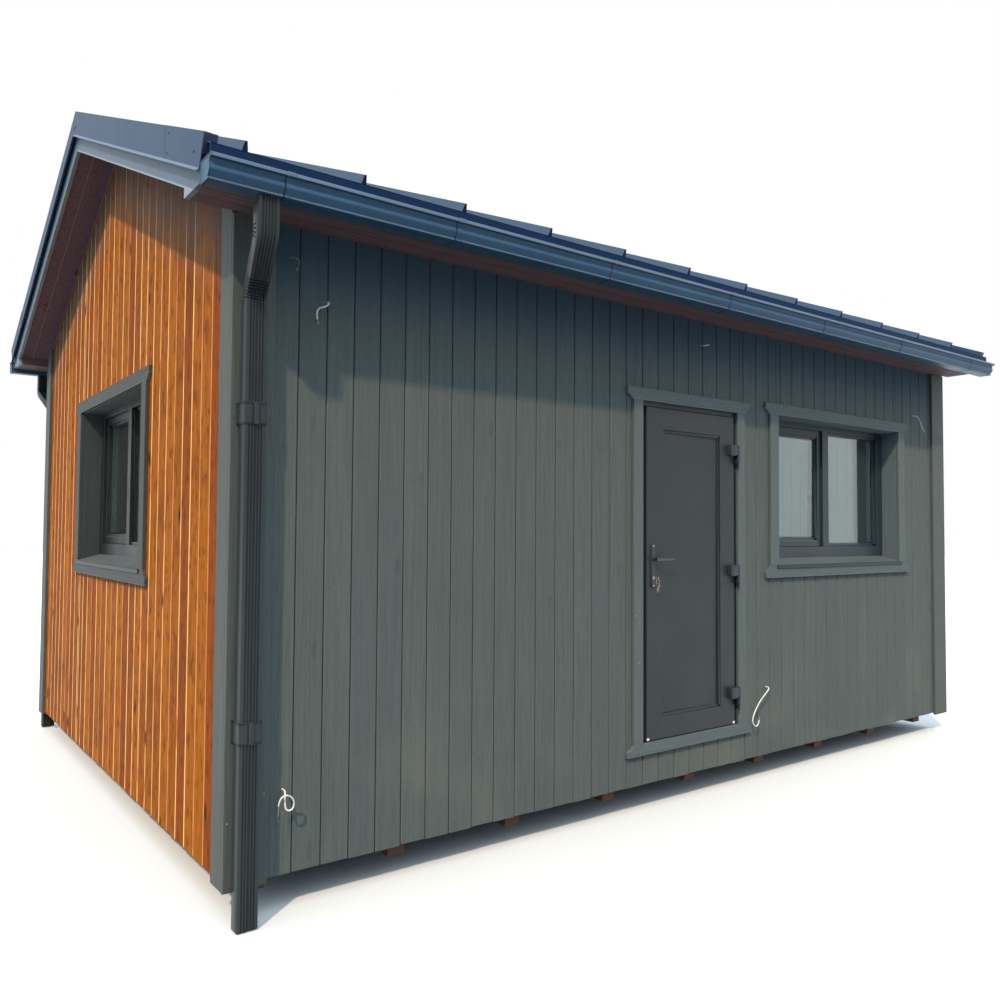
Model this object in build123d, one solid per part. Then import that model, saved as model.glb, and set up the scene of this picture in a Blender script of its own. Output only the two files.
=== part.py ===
from build123d import *
import math
import os

# A timber studio house on floor bearers: board-clad walls, a low gabled roof of standing seam
# metal with gutters and downpipes, one outward opening door and two wide windows.
# Millimetres, +Z up, +X along the front from left to right, +Y to the back, ground at z = 0.
# Heights called levels are above the foot of the cladding.

# Plan
house_length = 6135
house_width = 4380
left_overhang = 250
right_overhang = 100
door_wall_share = 0.788
between_wall_share = 0.0635

# Base
block_height = 100
block_length = 390
block_width = 190
block_rows = 3
block_setback = 620
bearer_height = 110
bearer_width = 92
bearer_pitch = 705
bearer_first = 94
bearer_recess = 50
bearer_show = 55
platform_height = 180

# Walls
cladding_thickness = 20
wall_thickness = 180
corner_thickness = 22
corner_front_width = 170
corner_side_width = 130
corner_drop = 12

# Roof
roof_pitch = 23.06
soffit_level = 2848
sheet_level = 3120
sheet_thickness = 4
deck_thickness = 163
soffit_thickness = 18
seam_pitch = 518
seam_first = 150
seam_height = 38
seam_width = 10
seam_root = 26
sheet_reach = 352
drip_height = 48
ridge_gap = 20
cap_reach = 150
cap_thickness = 3
cap_rise = 28
seam_clear = 6
flashing_thickness = 3
flashing_face = 147
flashing_flange = 55
flashing_kick = 12
flashing_reach = 315
barge_depth = 196
barge_thickness = 22
barge_recess = 16
fascia_reach = 290
fascia_thickness = 18
eave_return = 50
mitre_gap = 1

# Gutters and downpipes
gutter_width = 122
gutter_foot = 82
gutter_depth = 96
gutter_drop = 32
gutter_wall = 2.5
gutter_lip = 14
outlet_diameter = 50
strap_width = 34
strap_thickness = 1.5
strap_first = 890
strap_pitch = 975
joint_from_left = 72
joint_from_right = 260
ogee_foot_share = 0.2
ogee_middle_share = 0.5
ogee_top_share = 0.8
ogee_bulge_share = 0.12
pipe_width = 90
pipe_depth = 62
pipe_wall = 2.5
pipe_from_left = 55
outlet_from_left = 0
pipe_standoff = 21
pipe_clearance = 8
elbow_drop = 150
elbow_height = 170
elbow_radius = 70
elbow_steps = 4
clip_height = 96
clip_thickness = 2
clip_ear = 26
clip_low_level = 655
clip_high_level = 1985

# Door
leaf_width = 822
leaf_height = 1998
leaf_thickness = 70
leaf_proud = 12
stile_width = 140
rail_width = 130
panel_recess = 16
panel_thickness = 36
leading_gap = 10
running_gap = 7
threshold_height = 14
door_frame_width = 70
door_frame_depth = 90
door_frame_recess = 5
door_stop_width = 20
door_stop_thickness = 16
door_trim_width = 78
door_trim_thickness = 22
door_trim_reveal = 27
door_head_height = 75
door_foot_height = 69
trim_ear = 52

# Door furniture
hinge_low_level = 434
hinge_middle_level = 1225
hinge_high_level = 2010
hinge_height = 122
hinge_upper_share = 0.58
barrel_diameter = 18
pin_diameter = 9
pin_gap = 0.3
hinge_block_width = 60
hinge_from_leaf = 16
hinge_clear = 7
adjuster_diameter = 11
adjuster_height = 30
plate_width = 28
plate_height = 262
plate_thickness = 9
plate_from_edge = 50
plate_top_margin = 91
lever_level = 1335
lever_length = 145
lever_height = 20
lever_thickness = 13
lever_return = 24
lever_standoff = 42
neck_diameter = 20
lock_diameter = 17
lock_drop = 112
lock_proud = 4

# Windows
window_width = 1596
window_height = 1038
window_level = 1276
gable_window_front = 1413
lining_thickness = 6
reveal_depth = 118
frame_side_width = 83
frame_head_height = 44
frame_foot_height = 120
frame_depth = 70
mullion_width = 76
mullion_shift = -12
sash_width = 64
sash_recess = 18
sash_thickness = 62
sash_gap = 0.5
pane_thickness = 24
pane_recess = 40
casing_width = 92
casing_thickness = 22
casing_head_height = 78
casing_apron_height = 86
sill_thickness = 3
sill_reach = 28
sill_rise = 38
sill_lip = 20
sill_ear = 28
handle_rose_width = 28
handle_rose_height = 66
handle_stem = 30
handle_length = 120
handle_thickness = 14
handle_level_share = 0.48

# Cable tails: each leaves the front boards at a place from the left end and a level, and its
# route runs on in steps of (along the wall, out from the wall, up)
cable_diameter = 8
cable_bend_share = 0.45
cable_exits = ((233, 2700), (421, 2535), (3068, 2700), (5668, 2466), (243, 370), (3680, 457))
cable_routes = (
    ((0, 0, 0), (0, 24, 0), (18, 42, 0), (36, 48, -18), (26, 50, -42)),
    ((0, 0, 0), (0, 24, 0), (-8, 40, -18), (-32, 42, -34), (-58, 38, -42), (-66, 36, -68), (-60, 34, -92)),
    ((0, 0, 0), (0, 24, 0), (-18, 42, -4), (-48, 46, -16), (-78, 46, -20)),
    ((0, 0, 0), (0, 26, 0), (20, 40, -10), (48, 44, -40), (70, 46, -78), (92, 46, -108), (118, 46, -124)),
    (
        (0, 0, 0), (0, 28, 0), (-6, 46, -10), (-10, 52, -28), (-11, 56, -45), (-10, 58, -61),
        (-5, 60, -74), (8, 61, -79), (21, 62, -74), (26, 64, -61), (26, 66, -42), (15, 69, -21),
        (-8, 71, -7), (-28, 69, -11), (-39, 65, -28), (-41, 60, -50),
    ),
    (
        (0, 0, 0), (0, 24, 0), (-18, 40, -10), (-56, 42, -34), (-106, 42, -68), (-152, 40, -116),
        (-188, 38, -170), (-196, 38, -210), (-172, 42, -240), (-140, 44, -232), (-132, 44, -200),
    ),
)

# Places that follow from the sizes
overrun = 30
tangent = math.tan(math.radians(roof_pitch))
cosine = math.cos(math.radians(roof_pitch))
sine = math.sin(math.radians(roof_pitch))
left = (left_overhang - right_overhang - house_length) / 2
right = left + house_length
front = -house_width / 2
back = -front
verge_left = left - left_overhang
verge_right = right + right_overhang
foot = block_height + bearer_show
floor_level = block_height + bearer_height + platform_height
shell = cladding_thickness + wall_thickness
ridge_top = foot + sheet_level + back * tangent
soffit_foot = foot + soffit_level
soffit_top = soffit_foot + soffit_thickness
deck_foot = sheet_thickness + deck_thickness
gable_soffit_foot = deck_foot + soffit_thickness
fascia_face = back + fascia_reach
fascia_back = fascia_face - fascia_thickness
outlet_place = fascia_face + gutter_foot / 2
barge_face_left = verge_left + barge_recess
barge_face_right = verge_right - barge_recess
deck_left = barge_face_left + barge_thickness
deck_right = barge_face_right - barge_thickness
gutter_floor = soffit_foot - gutter_drop
bearer_count = int((house_length - 2 * bearer_first - bearer_width) // bearer_pitch) + 1
seam_count = int((verge_right - verge_left - 2 * seam_first) // seam_pitch) + 1
sides = (-1, 1)

door_side = door_trim_reveal + door_trim_width + trim_ear
door_set = leading_gap + leaf_width + running_gap + 2 * door_side
window_side = casing_width + trim_ear
window_set = window_width + 2 * window_side
plain_wall = house_length - 2 * corner_front_width - door_set - window_set
door_set_start = left + corner_front_width + plain_wall * door_wall_share
window_set_start = door_set_start + door_set + plain_wall * between_wall_share
leaf_foot = floor_level + threshold_height + running_gap
leaf_top = leaf_foot + leaf_height
leaf_start = door_set_start + door_side + leading_gap
leaf_end = leaf_start + leaf_width
leaf_face = front - leaf_proud
leaf_back = leaf_face + leaf_thickness
door_inner_left = leaf_start - leading_gap
door_inner_right = leaf_end + running_gap
door_inner_top = leaf_top + running_gap
door_outer_left = door_inner_left - door_frame_width
door_outer_right = door_inner_right + door_frame_width
door_outer_top = door_inner_top + door_frame_width
hinge_x = leaf_end + hinge_from_leaf
hinge_y = front - door_trim_thickness - hinge_clear - barrel_diameter / 2
spindle_x = leaf_start + plate_from_edge
spindle_z = foot + lever_level
window_foot = foot + window_level
window_top = window_foot + window_height
window_start = window_set_start + window_side
window_end = window_start + window_width
gable_window_start = front + gable_window_front
gable_window_end = gable_window_start + window_width
lever_face = leaf_face - plate_thickness
lever_inner_face = leaf_back + plate_thickness


def block(x, y, z):
    """A square-edged solid between pairs of limits."""
    corner = Pos(x[0], y[0], z[0])
    return corner * Box(x[1] - x[0], y[1] - y[0], z[1] - z[0], align=(Align.MIN,) * 3)


def prism_x(outline, x):
    """An outline of (y, z) points carried along X."""
    plane = Plane(origin=(x[0], 0, 0), x_dir=(0, 1, 0), z_dir=(1, 0, 0))
    return extrude(plane * make_face(Polyline(*outline, close=True)), amount=x[1] - x[0], dir=(1, 0, 0))


def prism_y(outline, y):
    """An outline of (x, z) points carried along Y."""
    plane = Plane(origin=(0, y[0], 0), x_dir=(1, 0, 0), z_dir=(0, -1, 0))
    return extrude(plane * make_face(Polyline(*outline, close=True)), amount=y[1] - y[0], dir=(0, 1, 0))


def prism_z(outline, z):
    """An outline of (x, y) points carried upward."""
    plane = Plane(origin=(0, 0, z[0]))
    return extrude(plane * make_face(Polyline(*outline, close=True)), amount=z[1] - z[0], dir=(0, 0, 1))


def roof_z(y, depth):
    """Height of a roof surface at a place across the house, a depth below the top of the sheet."""
    return ridge_top - abs(y) * tangent - depth / cosine


def slope_prism(outline, side, start, length):
    """An outline of (x, height over the deck) points carried down one roof slope."""
    down = Vector(0, side * cosine, -sine)
    crown = ridge_top - sheet_thickness / cosine
    origin = (0, side * start * cosine, crown - start * sine)
    plane = Plane(origin=origin, x_dir=(-side, 0, 0), z_dir=down)
    points = [(-side * x, height) for x, height in outline]
    return extrude(plane * make_face(Polyline(*points, close=True)), amount=length, dir=down)


def one_side(solid, side):
    """The part of a roof piece on one side of the ridge, clear of its twin at the mitre."""
    reach = house_width
    y = sorted((side * mitre_gap / 2, side * reach))
    return solid & block((verge_left - reach, verge_right + reach), y, (0, ridge_top + reach))


def save(name, solids):
    """One node, of one solid or of several that stand apart."""
    solids = list(solids)
    shape = solids[0] if len(solids) == 1 else Compound(children=solids)
    export_step(shape, os.path.join("parts", name + ".step"))


def spread(first, last, count):
    """Evenly spaced places from first to last."""
    return [first + (last - first) * i / (count - 1) for i in range(count)]


# Base: pads, bearers and the floor
def foundation_blocks():
    """Three rows of pads under every second bearer, well in from the edges of the floor."""
    columns = bearer_places()[1::2]
    rows = spread(front + block_setback, back - block_setback, block_rows)
    half_width = block_width / 2
    half_length = block_length / 2
    return [
        block((x - half_width, x + half_width), (y - half_length, y + half_length), (0, block_height))
        for x in columns
        for y in rows
    ]


def bearer_places():
    return [left + bearer_first + bearer_width / 2 + i * bearer_pitch for i in range(bearer_count)]


def floor_bearers():
    half = bearer_width / 2
    y = (front + bearer_recess, back - bearer_recess)
    z = (block_height, block_height + bearer_height)
    return [block((x - half, x + half), y, z) for x in bearer_places()]


def floor_platform():
    x = (left + cladding_thickness, right - cladding_thickness)
    y = (front + cladding_thickness, back - cladding_thickness)
    return block(x, y, (floor_level - platform_height, floor_level))


# Walls: framed panels with the openings between them
def long_wall(side, x, z_low, z_high=None):
    """A length of front or back wall, up to the roof deck where no top is given."""
    outer = side * (back - cladding_thickness)
    inner = side * (back - shell)
    top_outer = z_high if z_high else roof_z(outer, deck_foot)
    top_inner = z_high if z_high else roof_z(inner, deck_foot)
    return prism_x([(outer, z_low), (inner, z_low), (inner, top_inner), (outer, top_outer)], x)


def front_wall_panels():
    limits = (
        (left + cladding_thickness, door_outer_left),
        (door_outer_right, window_start),
        (window_end, right - cladding_thickness),
    )
    return [long_wall(-1, x, floor_level) for x in limits]


def front_wall_infills():
    over_door = long_wall(-1, (door_outer_left, door_outer_right), door_outer_top)
    under_window = long_wall(-1, (window_start, window_end), floor_level, window_foot)
    over_window = long_wall(-1, (window_start, window_end), window_top)
    return [over_door, under_window, over_window]


def back_wall():
    return long_wall(1, (left + cladding_thickness, right - cladding_thickness), floor_level)


def gable_outline(depth, y_low, y_high, z_low):
    """A gable's outline under a roof surface, between two places across the house."""
    peak = [(0, roof_z(0, depth))] if y_low < 0 < y_high else []
    return [(y_low, z_low), (y_high, z_low), (y_high, roof_z(y_high, depth))] + peak + [
        (y_low, roof_z(y_low, depth))
    ]


left_wall = (left + cladding_thickness, left + shell)
right_wall = (right - shell, right - cladding_thickness)
gable_low = front + shell
gable_high = back - shell


def left_wall_panels():
    near = gable_outline(deck_foot, gable_low, gable_window_start, floor_level)
    far = gable_outline(deck_foot, gable_window_end, gable_high, floor_level)
    return [prism_x(near, left_wall), prism_x(far, left_wall)]


def left_wall_infills():
    window = (gable_window_start, gable_window_end)
    under = block(left_wall, window, (floor_level, window_foot))
    over = prism_x(gable_outline(deck_foot, *window, window_top), left_wall)
    return [under, over]


def right_wall_panel():
    return prism_x(gable_outline(deck_foot, gable_low, gable_high, floor_level), right_wall)


# Cladding: a skin on each wall, with the corner boards over its ends
def long_cladding(side):
    y = sorted((side * back, side * (back - cladding_thickness)))
    return block((left, right), y, (foot, soffit_foot))


def front_cladding():
    y = (front - overrun, front + shell)
    door = block((door_outer_left, door_outer_right), y, (floor_level, door_outer_top))
    window = block((window_start, window_end), y, (window_foot, window_top))
    return long_cladding(-1) - door - window


def gable_cladding(x):
    y_low = front + cladding_thickness
    return prism_x(gable_outline(gable_soffit_foot, y_low, -y_low, foot), x)


def left_cladding():
    x = (left, left + cladding_thickness)
    through = (left - overrun, left + shell)
    window = block(through, (gable_window_start, gable_window_end), (window_foot, window_top))
    return gable_cladding(x) - window


def right_cladding():
    return gable_cladding((right - cladding_thickness, right))


def corner_boards():
    z_low = foot - corner_drop
    boards = []
    for end, outward in ((left, -1), (right, 1)):
        for side in sides:
            face = side * (back + corner_thickness)
            flat_x = sorted((end + outward * corner_thickness, end - outward * corner_front_width))
            flat_y = sorted((side * back, face))
            flat = block(flat_x, flat_y, (z_low, soffit_foot))
            edge_x = sorted((end, end + outward * corner_thickness))
            edge_y = sorted((side * back, side * (back - corner_side_width)))
            edge = prism_x(gable_outline(gable_soffit_foot, *edge_y, z_low), edge_x)
            boards.append(flat + edge)
    return boards


# Roof: deck, linings, sheet and edge trims
def roof_deck(side):
    tail = side * fascia_back
    turn = side * (ridge_top - deck_foot / cosine - soffit_top) / tangent
    outline = [
        (0, roof_z(0, sheet_thickness)),
        (tail, roof_z(tail, sheet_thickness)),
        (tail, soffit_top),
        (turn, soffit_top),
        (0, roof_z(0, deck_foot)),
    ]
    return prism_x(outline, (deck_left, deck_right))


def gable_soffit(x):
    """Boards under the slopes of one gable overhang, from the ridge to the boxed eaves."""
    boards = []
    for side in sides:
        inner = side * mitre_gap / 2
        outer = side * (back + eave_return - soffit_thickness)
        outline = [
            (inner, roof_z(inner, deck_foot)),
            (outer, roof_z(outer, deck_foot)),
            (outer, roof_z(outer, gable_soffit_foot)),
            (inner, roof_z(inner, gable_soffit_foot)),
        ]
        boards.append(prism_x(outline, x))
    return boards


def eave_soffit(side):
    """The level soffit, with the upright boards that close its box under the gable overhangs."""
    inner = side * (back - cladding_thickness)
    wall_line = sorted((inner, side * fascia_back))
    pieces = block((left, right), wall_line, (soffit_foot, soffit_top))
    near = side * (back + eave_return - soffit_thickness)
    far = side * (back + eave_return)
    upright = [
        (near, soffit_foot),
        (far, soffit_foot),
        (far, roof_z(far, deck_foot)),
        (near, roof_z(near, deck_foot)),
    ]
    box_line = sorted((far, side * fascia_back))
    for x in ((deck_left, left), (right, deck_right)):
        pieces += block(x, box_line, (soffit_foot, soffit_top)) + prism_x(upright, x)
    return pieces


def fascia(side):
    inner = side * fascia_back
    outer = side * fascia_face
    outline = [
        (inner, soffit_foot),
        (outer, soffit_foot),
        (outer, roof_z(outer, sheet_thickness)),
        (inner, roof_z(inner, sheet_thickness)),
    ]
    return prism_x(outline, (deck_left, deck_right))


def barge_boards(x):
    """Two boards under one verge, level at the foot, each with the end of its eave box."""
    boards = []
    for side in sides:
        inner = side * mitre_gap / 2
        tail = side * fascia_face
        box_end = side * (back + eave_return - soffit_thickness)
        outline = [
            (inner, roof_z(inner, sheet_thickness)),
            (tail, roof_z(tail, sheet_thickness)),
            (tail, soffit_foot),
            (box_end, soffit_foot),
            (box_end, roof_z(box_end, barge_depth)),
            (inner, roof_z(inner, barge_depth)),
        ]
        boards.append(prism_x(outline, x))
    return boards


def seam_places():
    return [verge_left + seam_first + i * seam_pitch for i in range(seam_count)]


def roof_sheet(side):
    """Flat pans with a raised seam at each joint, and a drip turned down along the eave."""
    start = ridge_gap / cosine
    length = (back + sheet_reach) / cosine - start
    x_low = barge_face_left
    x_high = barge_face_right
    pan = [(x_low, 0), (x_high, 0), (x_high, sheet_thickness), (x_low, sheet_thickness)]
    sheet = slope_prism(pan, side, start, length)
    seam_start = (cap_reach + seam_clear) / cosine
    for x in seam_places():
        seam = [
            (x - seam_root / 2, 0),
            (x + seam_root / 2, 0),
            (x + seam_width / 2, sheet_thickness + seam_height),
            (x - seam_width / 2, sheet_thickness + seam_height),
        ]
        sheet += slope_prism(seam, side, seam_start, start + length - seam_start)
    edge = side * (back + sheet_reach)
    inner = side * (back + sheet_reach - sheet_thickness)
    drip = [
        (inner, roof_z(inner, sheet_thickness / 2)),
        (edge, roof_z(edge, sheet_thickness / 2)),
        (edge, roof_z(edge, 0) - drip_height),
        (inner, roof_z(edge, 0) - drip_height),
    ]
    return sheet + prism_x(drip, (x_low, x_high))


def ridge_cap():
    """A folded cap that stands over the seams, its lips down on the pans."""
    under = -cap_rise
    over = under - cap_thickness
    inner = cap_reach - cap_thickness
    outline = [(0, roof_z(0, over)), (cap_reach, roof_z(cap_reach, over)), (cap_reach, roof_z(cap_reach, 0))]
    outline += [(inner, roof_z(inner, 0)), (inner, roof_z(inner, under)), (0, roof_z(0, under))]
    outline += [(-y, z) for y, z in outline[4:0:-1]]
    x = (verge_left + flashing_flange, verge_right - flashing_flange)
    return prism_x(outline, x)


def barge_flashings(verge, inward):
    """Folded metal over one verge: a flange on the seams' level, an outer face and a kicked foot."""
    top = sheet_thickness + cap_rise + cap_thickness
    low = top - flashing_face
    t = flashing_thickness
    outline = [
        (flashing_flange, sheet_thickness),
        (flashing_flange, top),
        (0, top),
        (0, low + flashing_kick),
        (-flashing_kick, low),
        (t - flashing_kick, low),
        (t, low + flashing_kick),
        (t, top - t),
        (flashing_flange - t, top - t),
        (flashing_flange - t, sheet_thickness),
    ]
    outline = [(verge + inward * x, height) for x, height in outline]
    length = (back + flashing_reach) / cosine + overrun
    return [one_side(slope_prism(outline, side, -overrun, length), side) for side in sides]


# Rainwater goods
def gutter_profile():
    """The gutter's section as (out from the fascia, height over its floor): an ogee front."""
    start = (gutter_foot, gutter_depth * ogee_foot_share)
    middle = ((gutter_foot + gutter_width) / 2, gutter_depth * ogee_middle_share)
    end = (gutter_width, gutter_depth * ogee_top_share)
    bulge = gutter_depth * ogee_bulge_share
    low = ((start[0] + middle[0]) / 2 + bulge / 2, (start[1] + middle[1]) / 2 - bulge / 2)
    high = ((middle[0] + end[0]) / 2 - bulge / 2, (middle[1] + end[1]) / 2 + bulge / 2)
    lines = Polyline((0, gutter_depth), (0, 0), (gutter_foot, 0), start)
    lines += ThreePointArc(start, low, middle)
    lines += ThreePointArc(middle, high, end)
    lines += Line(end, (gutter_width, gutter_depth))
    return lines


def gutter_plane(side, x):
    return Plane(origin=(x, side * fascia_face, gutter_floor), x_dir=(0, side, 0), z_dir=(side, 0, 0))


def gutter(side):
    """A long trough with a turned lip, told apart as its back, floor, front and two end caps."""
    closed = make_face(gutter_profile() + Line((gutter_width, gutter_depth), (0, gutter_depth)))
    hollow = offset(closed, amount=-gutter_wall)
    corner = (Align.MIN, Align.MIN)
    mouth_width = gutter_width - gutter_lip - gutter_wall
    mouth_foot = gutter_depth - 2 * gutter_wall
    mouth = Pos(gutter_wall, mouth_foot) * Rectangle(mouth_width, gutter_depth, align=corner)
    behind = Rectangle(gutter_foot - gutter_wall, gutter_depth, align=corner)
    back_strip = Rectangle(gutter_wall, gutter_depth, align=corner)
    floor_strip = Pos(gutter_wall, 0) * Rectangle(gutter_foot - 2 * gutter_wall, gutter_wall, align=corner)
    front_strip = closed - hollow - mouth - behind
    ends = (verge_left, verge_right - gutter_wall)
    plane = gutter_plane(side, verge_left + gutter_wall)
    run = verge_right - verge_left - 2 * gutter_wall
    sections = (back_strip, floor_strip, front_strip)
    strips = [extrude(plane * strip, amount=run, dir=(1, 0, 0)) for strip in sections]
    outlet = Plane(origin=(left + outlet_from_left, side * outlet_place, gutter_floor - gutter_wall))
    strips[1] -= extrude(outlet * Circle(outlet_diameter / 2), amount=gutter_depth / 2, dir=(0, 0, 1))
    caps = [extrude(gutter_plane(side, end) * closed, amount=gutter_wall, dir=(1, 0, 0)) for end in ends]
    return strips + caps


def strap_places():
    """The two joints near the ends, and the straps between them."""
    run = house_length - strap_first - joint_from_right - strap_pitch / 2
    count = int(run // strap_pitch) + 1
    straps = [left + strap_first + i * strap_pitch for i in range(count)]
    return [left + joint_from_left] + straps + [right - joint_from_right]


def gutter_straps():
    """Bands round the outside of the gutters, from the fascia under the floor and up over the lip."""
    closed = make_face(gutter_profile() + Line((gutter_width, gutter_depth), (0, gutter_depth)))
    band = offset(closed, amount=strap_thickness) - closed
    reach = gutter_width + overrun
    behind = Rectangle(reach, 2 * reach, align=(Align.MAX, Align.CENTER))
    mouth = Pos(0, gutter_depth) * Rectangle(gutter_width - gutter_lip, reach, align=(Align.MIN, Align.MIN))
    section = band - behind - mouth
    return [
        extrude(gutter_plane(side, x - strap_width / 2) * section, amount=strap_width, dir=(1, 0, 0))
        for side in sides
        for x in strap_places()
    ]


def pipe_rings(side, top, end):
    """The downpipe's centre line as (x, y, z, turn): a short drop, two elbows and a long drop."""
    outlet = (left + outlet_from_left, outlet_place)
    wall = (left + pipe_from_left, back + corner_thickness + pipe_standoff + pipe_depth / 2)
    bend = gutter_floor - elbow_drop
    turn = math.atan2(outlet[1] - wall[1], elbow_height)
    reach = elbow_radius * math.tan(turn / 2)
    line = [(outlet[1], top, 0)]
    for step in range(elbow_steps + 1):
        angle = turn * step / elbow_steps
        inward = elbow_radius * (1 - math.cos(angle))
        line.append((outlet[1] - inward, bend + reach - elbow_radius * math.sin(angle), angle))
    for step in range(elbow_steps, -1, -1):
        angle = turn * step / elbow_steps
        outward = elbow_radius * (1 - math.cos(angle))
        line.append((wall[1] + outward, bend - elbow_height - reach + elbow_radius * math.sin(angle), angle))
    line.append((wall[1], end, 0))
    lean = (outlet[0] - wall[0]) / (outlet[1] - wall[1])
    return [(wall[0] + lean * (y - wall[1]), side * y, z, angle) for y, z, angle in line]


def downpipe(side):
    bodies = []
    for top, end, wall in ((gutter_floor, pipe_clearance, 0), (gutter_floor + overrun, -overrun, pipe_wall)):
        section = Rectangle(pipe_width - 2 * wall, pipe_depth - 2 * wall)
        rings = []
        for x, y, z, angle in pipe_rings(side, top, end):
            down = (0, -side * math.sin(angle), -math.cos(angle))
            rings.append(Plane(origin=(x, y, z), x_dir=(1, 0, 0), z_dir=down) * section)
        bodies.append(loft(rings, ruled=True))
    return bodies[0] - bodies[1]


def downpipe_clips():
    """Straps round the two downpipes, with ears on the corner boards."""
    clips = []
    half = pipe_width / 2
    x = left + pipe_from_left
    for side in sides:
        board = back + corner_thickness
        face = board + pipe_standoff + pipe_depth
        outline = [
            (-half - clip_ear, board),
            (-half, board),
            (-half, face),
            (half, face),
            (half, board),
            (half + clip_ear, board),
            (half + clip_ear, board + clip_thickness),
            (half + clip_thickness, board + clip_thickness),
            (half + clip_thickness, face + clip_thickness),
            (-half - clip_thickness, face + clip_thickness),
            (-half - clip_thickness, board + clip_thickness),
            (-half - clip_ear, board + clip_thickness),
        ]
        outline = [(x + u, side * v) for u, v in outline]
        for level in (clip_low_level, clip_high_level):
            clips.append(prism_z(outline, (foot + level - clip_height / 2, foot + level + clip_height / 2)))
    return clips


# Door: frame, trims and threshold stay with the house
def door_frame():
    y = (front + door_frame_recess, front + door_frame_recess + door_frame_depth)
    outer = block((door_outer_left, door_outer_right), y, (floor_level, door_outer_top))
    clear_y = (y[0] - overrun, y[1] - door_stop_thickness)
    clear_z = (floor_level + threshold_height, door_inner_top)
    clear = block((door_inner_left, door_inner_right), clear_y, clear_z)
    way_x = (door_inner_left + door_stop_width, door_inner_right - door_stop_width)
    way_y = (y[0] - overrun, y[1] + overrun)
    way = block(way_x, way_y, (floor_level + threshold_height, door_inner_top - door_stop_width))
    return outer - clear - way


def flared(x, z, ear):
    """A trim board whose upper edge, or lower edge for a negative height, is longer by an ear."""
    return [(x[0], z[0]), (x[1], z[0]), (x[1] + ear, z[1]), (x[0] - ear, z[1])]


def door_trim():
    y = (front - door_trim_thickness, front)
    inner_left = door_inner_left - door_trim_reveal
    outer_left = inner_left - door_trim_width
    inner_right = door_inner_right + door_trim_reveal
    outer_right = inner_right + door_trim_width
    head_foot = door_inner_top + door_trim_reveal
    foot_top = floor_level + threshold_height
    head = prism_y(flared((outer_left, outer_right), (head_foot, head_foot + door_head_height), trim_ear), y)
    sole = prism_y(flared((outer_left, outer_right), (foot_top, foot_top - door_foot_height), trim_ear), y)
    z = (foot_top + mitre_gap, head_foot - mitre_gap)
    jambs = [block((outer_left, inner_left), y, z), block((inner_right, outer_right), y, z)]
    return [head, sole] + jambs


# Door leaf and furniture
def door_leaf():
    y = (leaf_face, leaf_back)
    x = (leaf_start + stile_width, leaf_end - stile_width)
    z = (leaf_foot + rail_width, leaf_top - rail_width)
    leaf = block((leaf_start, leaf_end), y, (leaf_foot, leaf_top))
    return leaf - block(x, (y[0] - overrun, y[1] + overrun), z) - spindle_bore() - lock_bore()


def door_panel():
    x = (leaf_start + stile_width, leaf_end - stile_width)
    z = (leaf_foot + rail_width, leaf_top - rail_width)
    return block(x, (leaf_face + panel_recess, leaf_face + panel_recess + panel_thickness), z)


def across_leaf(diameter, x, z, y):
    """A round bar through the leaf between two places in Y."""
    plane = Plane(origin=(x, y[0], z), z_dir=(0, 1, 0))
    return extrude(plane * Circle(diameter / 2), amount=y[1] - y[0], dir=(0, 1, 0))


def spindle_bore():
    y = (lever_face - overrun, lever_inner_face + overrun)
    return across_leaf(neck_diameter + 2 * pin_gap, spindle_x, spindle_z, y)


def lock_bore():
    y = (lever_face - overrun, lever_inner_face + overrun)
    return across_leaf(lock_diameter + 2 * pin_gap, spindle_x, spindle_z - lock_drop, y)


def handle_plates():
    x = (spindle_x - plate_width / 2, spindle_x + plate_width / 2)
    z_top = spindle_z + plate_top_margin
    z = (z_top - plate_height, z_top)
    plates = (block(x, (lever_face, leaf_face), z), block(x, (leaf_back, lever_inner_face), z))
    return [plate - spindle_bore() - lock_bore() for plate in plates]


def lock_cylinder():
    y = (lever_face - lock_proud, lever_inner_face + lock_proud)
    return across_leaf(lock_diameter, spindle_x, spindle_z - lock_drop, y)


def door_lever():
    """One spindle with a lever bar on each side of the leaf, both pointing to the hinges."""
    outer = lever_face - lever_standoff
    inner = lever_inner_face + lever_standoff
    lever = across_leaf(neck_diameter, spindle_x, spindle_z, (outer, inner))
    z = (spindle_z - lever_height / 2, spindle_z + lever_height / 2)
    x = (spindle_x - neck_diameter / 2, spindle_x + lever_length)
    tip_x = (x[1] - lever_thickness, x[1])
    for face, inward in ((outer, 1), (inner, -1)):
        bar_y = sorted((face, face + inward * lever_thickness))
        tip_y = sorted((face, face + inward * lever_return))
        lever += block(x, bar_y, z) + block(tip_x, tip_y, z)
    return lever


def hinge_levels():
    return [foot + level for level in (hinge_low_level, hinge_middle_level, hinge_high_level)]


def upright(diameter, z):
    plane = Plane(origin=(hinge_x, hinge_y, z[0]))
    return extrude(plane * Circle(diameter / 2), amount=z[1] - z[0], dir=(0, 0, 1))


def hinge_frame_parts():
    """The lower barrel of each hinge, on a foot screwed to the frame, with its pin and adjuster."""
    parts = []
    radius = barrel_diameter / 2
    for level in hinge_levels():
        z_low = level - hinge_height / 2
        z_joint = z_low + hinge_height * (1 - hinge_upper_share)
        barrel = upright(barrel_diameter, (z_low, z_joint))
        flange_y = (hinge_y, front + door_frame_recess)
        flange = block((hinge_x - radius, hinge_x + radius), flange_y, (z_low, z_joint))
        pin = upright(pin_diameter, (z_joint, z_low + hinge_height - radius))
        adjuster = upright(adjuster_diameter, (z_low - adjuster_height, z_low))
        parts.append(barrel + flange + pin + adjuster)
    return parts


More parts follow.
